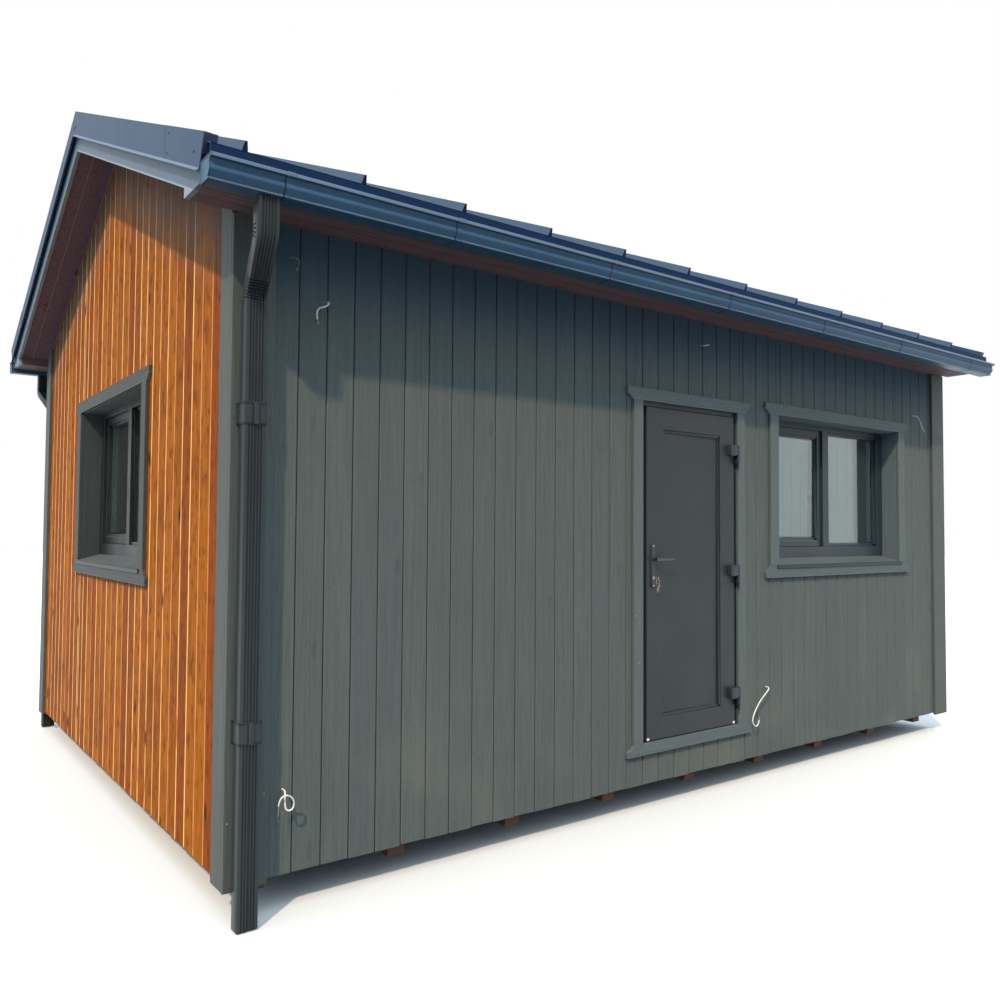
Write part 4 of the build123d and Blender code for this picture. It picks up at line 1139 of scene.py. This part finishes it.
def rod(bm, centre, axis, radius, length, segments=20, edge=0.0):
    """A round bar along an axis, with eased rims."""
    quarter = math.pi / 2
    turn = {"X": Matrix.Rotation(quarter, 4, "Y"), "Y": Matrix.Rotation(quarter, 4, "X"), "Z": Matrix()}[axis]
    verts = bmesh.ops.create_cone(
        bm, cap_ends=True, segments=segments, radius1=radius, radius2=radius, depth=length,
        matrix=Matrix.Translation(centre) @ turn,
    )["verts"]
    if edge:
        rims = [e for e in edges_of(verts) if any(len(face.verts) > 4 for face in e.link_faces)]
        ease(bm, rims, edge, 2)
    return verts


hinge_coat = coated_steel("hinge coating", srgb(49, 55, 62), 0.36, 0.05)
on_leaf, on_frame = bmesh.new(), bmesh.new()
for level in hinge_centres:
    joint, top, low = level - hinge_joint, level + hinge_half, level - hinge_half
    seat = (hinge_block[0], hinge_y - barrel_radius, joint + joint_gap)
    block(on_leaf, seat, (hinge_block[1], leaf_face, top), 0.003, 3)
    arm_y = (hinge_y - 0.8 * barrel_radius, hinge_y + 0.8 * barrel_radius)
    arm = (hinge_block[1] - arm_inset, arm_y[0], joint + arm_inset)
    block(on_leaf, arm, (hinge_x, arm_y[1], top - arm_inset), 0.002, 2)
    upper = (hinge_x, hinge_y, (joint + joint_gap + top) / 2)
    rod(on_leaf, upper, "Z", barrel_radius, top - joint - joint_gap, 24, barrel_ease)
    rod(on_frame, (hinge_x, hinge_y, (low + joint) / 2), "Z", barrel_radius, joint - low, 24, barrel_ease)
    frame_face = house_front + 0.005
    wide = 0.9 * barrel_radius
    foot = (hinge_x - wide, hinge_y, low + 0.003)
    block(on_frame, foot, (hinge_x + wide, frame_face, joint - 0.003), 0.002, 2)
    rod(on_frame, (hinge_x, hinge_y, low - adjuster_drop / 2), "Z", adjuster_radius, adjuster_drop, 16, 0.001)
    rod(on_frame, (hinge_x, hinge_y, low - 0.004), "Z", 1.2 * adjuster_radius, 0.006, 6, 0.0006)
piece(on_leaf, "door_hinge_leaves", [hinge_coat], "door", ("door_hinge_barrels",), 35)
piece(on_frame, "door_hinge_posts", [hinge_coat], "house", ("door_hinge_feet",), 35)


# Door furniture
# A long slim plate on each face carries the lever and the lock; the lever turns on one spindle.
# Plates are dark cast metal, the lever is satin steel, and a ring of brass keys hangs in the lock.
spindle_x, spindle_z = -0.4322, 1.490
lock_z = 1.378
plate_half, plate_levels = 0.014, (1.319, 1.581)
plate_thick = 0.009
lever_end = -0.2872
lever_out = 0.042
lever_half_height, lever_thick = 0.010, 0.013
lever_taper_start, lever_taper = 0.03, 0.25
hook_half_height, hook_out, hook_in = 0.0068, (0.004, 0.023), (0.012, 0.001)
spindle_radius, lock_radius = 0.0095, 0.0085
bow_radius, bow_thick = 0.0115, 0.0024
ring_radius, ring_wire = 0.0135, 0.0009


def satin_metal(name, base, roughness=0.34):
    """Brushed bare metal with faint cloudy handling marks."""
    material, tree, shader = new_finish(name, Metallic=1.0, Roughness=roughness)
    lines = noise(tree, stretched(tree, object_place(tree), (40, 900, 900)), 1.0, 3.0)
    tree.links.new(mixed(tree, lines, toned(base, 0.7), base), shader.inputs["Base Color"])
    dull = ramp(tree, lines, 0.3, 0.7, roughness - 0.06, roughness + 0.1)
    tree.links.new(dull, shader.inputs["Roughness"])
    return material


def rounded_plate(x, z_low, z_high, half):
    """The outline of an upright plate with half-round ends."""
    arc = [math.pi * step / 8 for step in range(9)]
    top = [(x + half * math.cos(a), z_high - half + half * math.sin(a)) for a in arc]
    return top + [(x - half * math.cos(a), z_low + half - half * math.sin(a)) for a in arc]


plate_coat = coated_steel("handle plate coating", srgb(54, 60, 66), 0.34, 0.04)
lever_steel = satin_metal("lever steel", srgb(88, 92, 96), 0.4)
screw_steel = satin_metal("screw steel", srgb(214, 214, 210), 0.28)
key_brass = satin_metal("key brass", srgb(206, 198, 176), 0.4)
plates, screws = bmesh.new(), bmesh.new()
for face, outward in ((leaf_face, -1), (leaf_back, 1)):
    outline = rounded_plate(spindle_x, *plate_levels, plate_half)
    plate = prism(plates, in_place, outline, face, face + outward * plate_thick)
    front_face = face + outward * plate_thick
    rim = [e for e in edges_of(plate) if all(abs(v.co.y - front_face) < 1e-6 for v in e.verts)]
    ease(plates, rim, 0.0025, 3)
    rod(plates, (spindle_x, front_face + outward * 0.002, spindle_z), "Y", 0.0125, 0.004, 28, 0.001)
    for level in (plate_levels[0] + 0.012, plate_levels[1] - 0.012):
        rod(screws, (spindle_x, front_face + outward * 0.0012, level), "Y", 0.0045, 0.0024, 14, 0.0008)
piece(plates, "door_long_plates", [plate_coat], "door", ("door_handle_plates",), 35)
piece(screws, "door_plate_screws", [screw_steel], "door", (), 35)
bm = bmesh.new()
lever_faces = (leaf_face - plate_thick - lever_out, leaf_back + plate_thick + lever_out)
middle = (spindle_x, sum(lever_faces) / 2, spindle_z)
rod(bm, middle, "Y", spindle_radius, lever_faces[1] - lever_faces[0] - 0.004, 24, 0.0015)
for face, inward in zip(lever_faces, (1, -1)):
    bar_y = sorted((face, face + inward * lever_thick))
    bar_foot, bar_top = spindle_z - lever_half_height, spindle_z + lever_half_height
    bar = slab(bm, (spindle_x - 0.010, bar_y[0], bar_foot), (lever_end, bar_y[1], bar_top))
    cuts = [e for e in edges_of(bar) if abs(e.verts[0].co.x - e.verts[1].co.x) > 0.05]
    bmesh.ops.subdivide_edges(bm, edges=cuts, cuts=5, use_grid_fill=True)
    tip = spindle_x + lever_taper_start
    in_bar = {v for v in bm.verts if min(bar_y) - 1e-5 <= v.co.y <= max(bar_y) + 1e-5}
    for vert in {v for v in in_bar if v.co.x > tip}:
        share = (vert.co.x - tip) / (lever_end - tip)
        vert.co.z = spindle_z + (vert.co.z - spindle_z) * (1 - lever_taper * share)
    rims = [e for e in bm.edges if e.calc_face_angle(0) > 0.7 and all(v in in_bar for v in e.verts)]
    clear = {v for v in in_bar if v.co.x > spindle_x + 0.012 or abs(v.co.z - spindle_z) > 0.0098}
    ease(bm, [e for e in rims if all(v in clear for v in e.verts)], 0.003, 3)
    hook_y = sorted(face + inward * out for out in hook_out)
    hook = (lever_end - hook_in[0], hook_y[0], spindle_z - hook_half_height)
    block(bm, hook, (lever_end - hook_in[1], hook_y[1], spindle_z + hook_half_height), 0.003, 3)
piece(bm, "door_lever_bars", [lever_steel], "lever", ("door_lever",), 35)
bm = bmesh.new()
lock_face = leaf_face - plate_thick
lock_length = leaf_back - leaf_face + 2 * plate_thick + 0.006
rod(bm, (spindle_x, (leaf_face + leaf_back) / 2, lock_z), "Y", lock_radius, lock_length, 24, 0.001)
blade = (spindle_x - 0.0012, lock_face - 0.020, lock_z - 0.004)
block(bm, blade, (spindle_x + 0.0012, lock_face, lock_z + 0.004), 0.0005, 1)


def key_bow(bm, x, y, z):
    """A key's round bow with a hole, standing across the door."""
    bow = bmesh.new()
    bmesh.ops.create_circle(bow, cap_ends=False, segments=20, radius=bow_radius)
    hole = verts_in(bmesh.ops.extrude_edge_only(bow, edges=bow.edges[:])["geom"])
    bmesh.ops.scale(bow, vec=(0.42, 0.42, 1.0), verts=hole)
    bmesh.ops.solidify(bow, geom=bow.faces[:], thickness=bow_thick)
    bmesh.ops.rotate(bow, cent=(0, 0, 0), matrix=Matrix.Rotation(math.pi / 2, 3, "Y"), verts=bow.verts[:])
    bmesh.ops.translate(bow, vec=(x, y, z), verts=bow.verts[:])
    join(bm, bow)


key_bow(bm, spindle_x, lock_face - 0.030, lock_z)
ring_y, ring_z = lock_face - 0.034, lock_z - 0.022
ring_top = (spindle_x, ring_y, ring_z + ring_radius)
profile = bmesh.ops.create_circle(
    bm, cap_ends=False, segments=8, radius=ring_wire, matrix=Matrix.Translation(ring_top),
)["verts"]
bmesh.ops.rotate(bm, cent=ring_top, matrix=Matrix.Rotation(math.pi / 2, 3, "Y"), verts=profile)
bmesh.ops.spin(
    bm, geom=profile + edges_of(profile), cent=(spindle_x, ring_y, ring_z), axis=(0, 1, 0),
    dvec=(0, 0, 0), angle=2 * math.pi, steps=28, use_merge=True,
)
for shift, drop in ((0.006, 0.030), (-0.004, 0.034)):
    key_bow(bm, spindle_x + shift, ring_y, ring_z - drop + 0.008)
    shank = (spindle_x + shift - 0.0011, ring_y - 0.0035, ring_z - drop - 0.030)
    block(bm, shank, (spindle_x + shift + 0.0011, ring_y + 0.0035, ring_z - drop - 0.002), 0.0006, 1)
piece(bm, "door_lock_and_keys", [key_brass], "door", ("door_lock_cylinder",), 40)


# Window casings, linings and sills
# Painted boards frame each window like the door, and thin boards line the reveal over a folded metal sill.
# Head and apron run past the jambs with coved ears.
window_width, window_height = 1.596, 1.038
window_foot = 1.431
front_window_start = 0.8229
gable_window_end = 0.819
casing_width = 0.092
casing_head, casing_apron = 0.078, 0.086
reveal_depth = 0.118
lining_thick = 0.006
sill_rise, sill_reach, sill_lip, sill_ear = 0.038, 0.0275, 0.020, 0.028
sill_sheet = 0.0016


def in_front_wall(along, inward, up):
    return Vector((front_window_start + along, house_front + inward, window_foot + up))


def in_left_gable(along, inward, up):
    return Vector((house_left + inward, gable_window_end - along, window_foot + up))


front_head_paint = planed_paint("window head board paint", "X", srgb(70, 80, 82), srgb(86, 96, 97), 0.03)
front_jamb_paint = planed_paint("window jamb board paint", "Z", srgb(74, 84, 85), srgb(91, 101, 101), 0.03)
gable_head_paint = planed_paint("gable head board paint", "Y", srgb(47, 52, 51), srgb(61, 66, 64), 0.03)
gable_jamb_paint = planed_paint("gable jamb board paint", "Z", srgb(47, 52, 51), srgb(61, 66, 64), 0.03)
window_walls = (
    ("front", in_front_wall, [front_jamb_paint, front_head_paint, pale_lower_edge_paint]),
    ("gable", in_left_gable, [gable_jamb_paint, gable_head_paint, pale_lower_edge_paint]),
)
casing_ends = (-casing_width, window_width + casing_width)
jamb_span = (0.0005, window_height - 0.0005)
for place, lay, finishes in window_walls:
    trim_boards(place + "_window_casing", lay, (
        (straight(casing_ends[0], 0.0, *jamb_span), 0),
        (straight(window_width, casing_ends[1], *jamb_span), 0),
        (coved_board(*casing_ends, window_height, window_height + casing_head, trim_ear), 1),
        (coved_board(*casing_ends, 0.0, -casing_apron, trim_ear), 1),
    ), finishes, ("window_casings",))


def lining_board_paint():
    """Planed paint that is darker in the gable than in the front wall, as painted shade in the gable window's
    reveal.
    """
    material, tree, shader = new_finish("lining board paint", Roughness=0.66)
    figure = figure_at(tree, place_along(tree, "Z"), 0.5)
    axes = axes_of(tree, object_place(tree))
    front = mixed(tree, figure["Grain"], srgb(80, 94, 102), srgb(90, 103, 111))
    # The gable tone is painted shade in that window's reveal.
    gable = mixed(tree, figure["Grain"], srgb(45, 52, 53), srgb(55, 62, 62))
    tree.links.new(mixed(tree, ramp(tree, axes["X"], -2.0, -1.0), gable, front), shader.inputs["Base Color"])
    bump(tree, shader, figure["Height"], 0.2, 0.0015)
    return material


paint("window_linings", lining_board_paint())
sill_coat = coated_steel("sill coating", srgb(86, 94, 96), 0.4, 0.03)
sill_nose_shade = coated_steel("sill nose painted shade", srgb(40, 46, 50), 0.45, 0.03)
for place, lay, _ in window_walls:
    bm = bmesh.new()
    sill_run = lay(1, 0, 0) - lay(0, 0, 0)
    outside = lay(0, -1, 0) - lay(0, 0, 0)
    fall = sill_rise / (reveal_depth + trim_thick)
    back, brink = reveal_depth - 0.001, (-trim_thick - 0.0005, 0.0005)
    bed = ((back, sill_rise + 0.004), (back, sill_rise), brink)
    outline = [lay(lining_thick + 0.0005, depth, up) for depth, up in bed]
    bed_run = sill_run * (window_width - 2 * lining_thick - 0.001)
    folded_sheet(bm, outline, bed_run, 0.001, sill_sheet, (0, 0, 1))
    brow = -fall * (sill_reach - trim_thick)
    nose = (
        brink, (-sill_reach, brow), (-sill_reach, brow - sill_lip),
        (-sill_reach + 0.004, brow - sill_lip - 0.001),
    )
    outline = [lay(-sill_ear, depth, up) for depth, up in nose]
    nose_run = sill_run * (window_width + 2 * sill_ear)
    folded_sheet(bm, outline, nose_run, 0.0015, sill_sheet, outside + Vector((0, 0, 1)))
    # Painted shade: the nose, out past the casing, takes a darker coat.
    for face in bm.faces:
        if outside.dot(face.calc_center_median() - lay(0, -trim_thick, 0)) > 0.001:
            face.material_index = 1
    piece(bm, place + "_window_sill", [sill_coat, sill_nose_shade], "house", ("window_sills",), 40)


# Window frames and sashes
# Foiled plastic bars with welded mitres: a frame with a mullion, one opening sash and one fixed light.
# Sloping beads and a black gasket hold each double-glazed unit, with a pale spacer between its sheets.
frame_depth = 0.070
frame_sides, frame_rails = (0.083, 0.083), (0.120, 0.044)
mullion = (0.748, 0.824)
sash_depths = (0.136, 0.198)
sash_bar = 0.046
sash_bead = 0.018
sash_gap = 0.001
bar_ease = 0.0022
bead_lap = 0.008
unit_depths = (0.158, 0.182)
sheet_thick = 0.004
spacer_width = 0.010
gasket_width = 0.0022
light_levels = (frame_rails[0], window_height - frame_rails[1])
sash_ends = (frame_sides[0], mullion[0])
fixed_ends = (mullion[1], window_width - frame_sides[1])


def shrunk(limits, amount):
    return (limits[0] + amount, limits[1] - amount)


window_foil = grained_foil("window foil", srgb(37, 50, 57), 0.4)
gable_foil = grained_foil("gable window foil", srgb(27, 31, 33), 0.4)
bead_highlight_foil = grained_foil("glazing bead painted highlight", srgb(96, 110, 118), 0.36)


def pane_glass():
    """Clear float glass with a film of dust that roughens it a little."""
    material, tree, shader = new_finish("window glass", IOR=1.85, Transmission_Weight=1.0)
    shader.inputs["Base Color"].default_value = srgb(218, 238, 238)
    film = noise(tree, object_place(tree), 9.0, 5.0)
    tree.links.new(ramp(tree, film, 0.45, 0.75, 0.0, 0.03), shader.inputs["Roughness"])
    return material


black_gasket = two_tone("black gasket", 0.7, 120.0, 3.0, srgb(18, 20, 22), srgb(40, 42, 44))
spacer_metal = satin_metal("spacer bar metal", srgb(208, 212, 212), 0.4)
glass = pane_glass()
for place, lay, _ in window_walls:
    frames, gaskets, spacers, sheets = bmesh.new(), bmesh.new(), bmesh.new(), bmesh.new()
    frame_far = reveal_depth + frame_depth
    whole = ((0.0005, window_width - 0.0005), (0.0005, window_height - 0.0005))
    mitred(frames, lay, *whole, frame_sides, frame_rails, reveal_depth, frame_far, bar_ease)
    post = prism(frames, lay, straight(*mullion, *light_levels), reveal_depth, frame_far)
    upright = [edge for edge in edges_of(post) if abs((edge.verts[0].co - edge.verts[1].co).z) > 0.5]
    ease(frames, upright, bar_ease, 2)
    foil = window_foil if place == "front" else gable_foil
    piece(frames, place + "_window_frame", [foil], "house", ("window_frames",))
    sashes = bmesh.new()
    bars = (sash_bar, sash_bar)
    beads = (sash_bead, sash_bead)
    sash_limits = (shrunk(sash_ends, sash_gap), shrunk(light_levels, sash_gap))
    mitred(sashes, lay, *sash_limits, bars, bars, *sash_depths, bar_ease)
    bead_ends, bead_levels = (shrunk(limits, sash_bar + sash_gap) for limits in (sash_ends, light_levels))
    for ends, levels, near, slope in (
        (bead_ends, bead_levels, sash_depths[0] + 0.004, 0.012),
        (fixed_ends, light_levels, reveal_depth + 0.012, 0.018),
    ):
        mitred(sashes, lay, ends, levels, beads, beads, near, unit_depths[0] - 0.001, 0.001, slope)
    bmesh.ops.recalc_face_normals(sashes, faces=sashes.faces[:])
    # Painted highlight: faces turned up along the foot of each light take a paler foil.
    for face in sashes.faces:
        if face.normal.z > 0.35 and abs(face.calc_center_median().z - window_foot - light_levels[0]) < 0.08:
            face.material_index = 1
    piece(sashes, place + "_window_sash", [foil, bead_highlight_foil], "house", ("window_sashes",))
    cover = sash_bead - bead_lap
    for limits in ((bead_ends, bead_levels), (fixed_ends, light_levels)):
        ends, levels = (shrunk(limit, bead_lap) for limit in limits)
        seal = (cover + gasket_width, cover + gasket_width)
        bar = (cover + spacer_width, cover + spacer_width)
        seal_depths = (unit_depths[0] - 0.002, unit_depths[0] - 0.0002)
        mitred(gaskets, lay, ends, levels, seal, seal, *seal_depths, 0.0004)
        between = (unit_depths[0] + sheet_thick, unit_depths[1] - sheet_thick)
        mitred(spacers, lay, ends, levels, bar, bar, *between, 0.0004)
        for near in (unit_depths[0], unit_depths[1] - sheet_thick):
            sheet = prism(sheets, lay, straight(*ends, *levels), near, near + sheet_thick)
            ease(sheets, edges_of(sheet), 0.0004, 1)
    piece(gaskets, place + "_window_gaskets", [black_gasket], "house")
    piece(spacers, place + "_window_spacers", [spacer_metal], "house")
    piece(sheets, place + "_window_glazing", [glass], "house", ("window_panes",))


# Window handles
# Moulded white handles inside the room, one on each opening sash, hanging down when the sash is shut.
# A curved grip grows out of a flat oval rose.
handle_along = sash_ends[1] - 0.032
handle_level = light_levels[0] + 0.48 * (light_levels[1] - light_levels[0])
rose_half_width, rose_half_height = 0.014, 0.033
rose_thick = 0.012
grip_radius, grip_length, grip_out = 0.0085, 0.122, 0.046
knee, grip_bow, grip_sides = 0.016, 0.026, 14
for place, lay, _ in window_walls:
    bm = bmesh.new()
    rose_levels = (handle_level - rose_half_height, handle_level + rose_half_height)
    outline = rounded_plate(handle_along, *rose_levels, rose_half_width)
    rose = prism(bm, lay, outline, sash_depths[1], sash_depths[1] + rose_thick)
    ease(bm, edges_of(rose), 0.002, 2)
    turn = [math.pi / 2 * step / 5 for step in range(6)]
    line = [(sash_depths[1] + rose_thick - 0.002, handle_level)]
    grip_face = sash_depths[1] + grip_out
    line += [
        (grip_face - knee + knee * math.sin(a), handle_level - knee + knee * math.cos(a)) for a in turn
    ]
    line += [
        (grip_face - grip_bow * share ** 3, handle_level - knee - share * (grip_length - knee))
        for share in (0.25, 0.5, 0.75, 1.0)
    ]
    around = [2 * math.pi * step / grip_sides for step in range(grip_sides)]
    circle = [(grip_radius * math.cos(a), grip_radius * math.sin(a)) for a in around]
    ring = [bm.verts.new(lay(handle_along + aside, line[0][0], handle_level + up)) for aside, up in circle]
    first = bm.faces.new(ring)
    edges = list(first.edges)
    for number, (depth, up) in enumerate(line[1:], 1):
        before, after = line[number - 1], line[min(number + 1, len(line) - 1)]
        lean = math.atan2(before[1] - after[1], after[0] - before[0])
        ring, edges = next_ring(bm, edges)
        slim = 1.0 - 0.25 * number / len(line)
        for a, vert in zip(around, ring):
            lift = grip_radius * slim * math.sin(a)
            vert.co = lay(
                handle_along + 1.25 * grip_radius * slim * math.cos(a),
                depth + lift * math.sin(lean), up + lift * math.cos(lean),
            )
    end = bm.faces.new(ring)
    ease(bm, list(end.edges), 0.0025, 3)
    piece(bm, place + "_window_handle", [white_plastic], "house", ("window_handles",), 50)


# Cable tails
# White sheathed cables left out of drilled holes in the front boards for lamps and sockets.
# Each has its own set from the drum and ends bare, in the air beside the wall.
def moulded(name, dark, light):
    return two_tone(name, 0.45, 40.0, 4.0, dark, light)


sheath = moulded("cable sheath", srgb(206, 206, 200), srgb(240, 240, 236))
grey_sheath = moulded("grey cable sheath", srgb(96, 104, 106), srgb(126, 132, 132))
core_finishes = [
    moulded("brown core", srgb(86, 52, 34), srgb(110, 70, 46)),
    moulded("blue core", srgb(48, 78, 132), srgb(70, 104, 160)),
    moulded("green and yellow core", srgb(118, 140, 44), srgb(196, 190, 70)),
    moulded("bare copper", srgb(206, 150, 110), srgb(240, 196, 150)),
]
core_radius = 0.0013
core_length = 0.014
cable_diameter = 0.008
cable_exits = (
    (-2.7595, 2.855), (-2.5715, 2.690), (0.0755, 2.855), (2.6755, 2.621), (-2.7495, 0.525), (0.6875, 0.612),
)
cable_lengths = (0.0964, 0.1524, 0.1104, 0.2021, 0.2856, 0.4208)
cable_routes = (
    ((0, 0, 0), (0, 24, 0), (18, 42, 0), (36, 48, -18), (26, 50, -42)),
    ((0, 0, 0), (0, 24, 0), (-8, 40, -18), (-32, 42, -34), (-58, 38, -42), (-66, 36, -68), (-60, 34, -92)),
    ((0, 0, 0), (0, 24, 0), (-18, 42, -4), (-48, 46, -16), (-78, 46, -20)),
    ((0, 0, 0), (0, 26, 0), (20, 40, -10), (48, 44, -40), (70, 46, -78), (92, 46, -108), (118, 46, -124)),
    (
        (0, 0, 0), (0, 28, 0), (-6, 46, -10), (-10, 52, -28), (-11, 56, -45), (-10, 58, -61),
        (-5, 60, -74), (8, 61, -79), (21, 62, -74), (26, 64, -61), (26, 66, -42), (15, 69, -21),
        (-8, 71, -7), (-28, 69, -11), (-39, 65, -28), (-41, 60, -50),
    ),
    (
        (0, 0, 0), (0, 24, 0), (-18, 40, -10), (-56, 42, -34), (-106, 42, -68), (-152, 40, -116),
        (-188, 38, -170), (-196, 38, -210), (-172, 42, -240), (-140, 44, -232), (-132, 44, -200),
    ),
)
loose_cores = (
    ((-40, 60, -48), (-37, 63, -61), (-30, 64, -73), (-24, 64, -80)),
    ((-41, 61, -49), (-38, 64, -59), (-30, 65, -73)),
    ((-42, 60, -49), (-42, 62, -70), (-45, 63, -93), (-43, 62, -112)),
)


def beside_exit(x, z, mark):
    """A mark in millimetres along the wall, out from it and up, as a place beside a cable's exit."""
    along, out, up = (part / 1000 for part in mark)
    return Vector((x + along, house_front - out, z + up))


def core(bm, points, radius, finish):
    """A thin wire through a few points, closed at both ends."""
    before = len(bm.faces)
    for number, point in enumerate(points):
        ahead = points[min(number + 1, len(points) - 1)] - points[max(number - 1, 0)]
        turn = ahead.to_track_quat("Z", "Y").to_matrix()
        around = [2 * math.pi * step / 8 for step in range(8)]
        places = [point + turn @ Vector((radius * math.cos(a), radius * math.sin(a), 0)) for a in around]
        if number == 0:
            ring = [bm.verts.new(place) for place in places]
            edges = list(bm.faces.new(ring).edges)
            continue
        ring, edges = next_ring(bm, edges)
        for vert, place in zip(ring, places):
            vert.co = place
    bm.faces.new(ring)
    bm.faces.ensure_lookup_table()
    for face in bm.faces[before:]:
        face.material_index = finish


for number, ((x, z), route, length) in enumerate(zip(cable_exits, cable_routes, cable_lengths), 1):
    curve = bpy.data.curves.new(f"cable_{number}", "CURVE")
    curve.dimensions = "3D"
    curve.bevel_depth = cable_diameter / 2
    curve.bevel_resolution = 4
    curve.use_fill_caps = True
    spline = curve.splines.new("NURBS")
    spline.points.add(len(route) - 1)
    for point, mark in zip(spline.points, route):
        point.co = (*beside_exit(x, z, mark), 1.0)
    spline.order_u = 3
    spline.use_endpoint_u = True
    curve.materials.append(grey_sheath if number == 1 else sheath)
    cable = placed(f"cable_{number}", curve)
    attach(cable, "house")
    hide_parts(f"cable_tail_{number}")
    bm = bmesh.new()
    marks = [beside_exit(x, z, mark) for mark in route]
    ahead = (marks[-1] - marks[-2]).normalized()
    aside = ahead.orthogonal().normalized()
    for finish in range(3):
        lean = Matrix.Rotation(2 * math.pi * finish / 3, 3, ahead) @ aside
        if number == 5:
            run = [beside_exit(x, z, mark) for mark in loose_cores[finish]]
        else:
            spread = ((1.2, -0.002), (1.3, 0.4 * core_length), (3, core_length))
            run = [marks[-1] + out * core_radius * lean + along * ahead for out, along in spread]
        core(bm, run, core_radius, finish)
        tip = (run[-1] - run[-2]).normalized()
        core(bm, [run[-1] - 0.001 * tip, run[-1] + 0.003 * tip, run[-1] + 0.006 * tip], 0.6 * core_radius, 3)
    cores = piece(bm, f"cable_{number}_cores", core_finishes, "house", (), 40)


# Floor, light and camera
# A plain pale floor, one soft sun from the left front, a cool fill from all round and a white ground.
# The camera stands at head height off the near corner, as the photographer did.
def seen_directly(tree):
    """One for rays from the camera, off gloss or through glass, and nought for the rest."""
    path = add(tree, "ShaderNodeLightPath").outputs
    either = maths(tree, "MAXIMUM", path["Is Camera Ray"], path["Is Glossy Ray"])
    return maths(tree, "MAXIMUM", either, path["Is Transmission Ray"])


floor_material, floor_tree, floor_shader = new_finish("studio floor", Roughness=0.9)
floor_cloud = noise(floor_tree, object_place(floor_tree), 0.6, 2.0)
floor_tone = mixed(floor_tree, floor_cloud, srgb(216, 216, 215), srgb(220, 220, 219))
floor_tone = mixed(floor_tree, seen_directly(floor_tree), srgb(60, 62, 62), floor_tone)
floor_tree.links.new(floor_tone, floor_shader.inputs["Base Color"])
bm = bmesh.new()
bmesh.ops.create_grid(bm, x_segments=1, y_segments=1, size=60.0)
floor_mesh = bpy.data.meshes.new("studio_floor")
bm.to_mesh(floor_mesh)
bm.free()
floor_mesh.materials.append(floor_material)
studio_floor = placed("studio_floor", floor_mesh)
sun = bpy.data.lights.new("key_sun", "SUN")
sun.energy = 3.1
sun.angle = math.radians(2.0)
sun.color = (1.0, 0.79, 0.57)
key = placed("key_sun", sun)
sun_way = Vector((1.0, 0.775, -1.25))
key.rotation_euler = sun_way.to_track_quat("-Z", "Y").to_euler()
world = bpy.data.worlds.new("studio")
bpy.context.scene.world = world
world.use_nodes = True
sky = world.node_tree
sky.nodes.clear()
looked_at = seen_directly(sky)
upward = axes_of(sky, add(sky, "ShaderNodeTexCoord").outputs["Generated"])
dome = add(sky, "ShaderNodeMapRange", {"Value": upward["Z"], "To Min": 0.31, "To Max": 2.8})
haze = mixed(sky, ramp(sky, upward["Z"], 0.0, 0.6), (0.38, 0.71, 1.0, 1.0), (0.74, 0.89, 1.0, 1.0))
fill = add(sky, "ShaderNodeBackground", {"Color": haze, "Strength": dome.outputs[0]})
ground = add(sky, "ShaderNodeBackground", {"Color": (1.0, 1.0, 1.0, 1.0), "Strength": 1.0})
either = add(sky, "ShaderNodeMixShader", {0: looked_at, 1: fill.outputs[0], 2: ground.outputs[0]})
add(sky, "ShaderNodeOutputWorld", {"Surface": either.outputs[0]})
yaw, pitch, roll = math.radians(36.985), math.radians(2.081), math.radians(-0.356)
ahead = Vector((math.sin(yaw) * math.cos(pitch), math.cos(yaw) * math.cos(pitch), math.sin(pitch)))
level_right = Vector((math.cos(yaw), -math.sin(yaw), 0.0))
level_down = ahead.cross(level_right)
to_right = math.cos(roll) * level_right + math.sin(roll) * level_down
to_foot = -math.sin(roll) * level_right + math.cos(roll) * level_down
lens = bpy.data.cameras.new("camera")
lens.sensor_width = 36.0
lens.lens = 30.78
lens.clip_end = 200.0
camera = placed("camera", lens)
eye = (-4.2635, -5.762, 1.653)
camera.matrix_world = Matrix((
    *((to_right[i], -to_foot[i], -ahead[i], eye[i]) for i in range(3)), (0.0, 0.0, 0.0, 1.0),
))
bpy.context.scene.camera = camera
bpy.context.scene.view_settings.view_transform = "Standard"
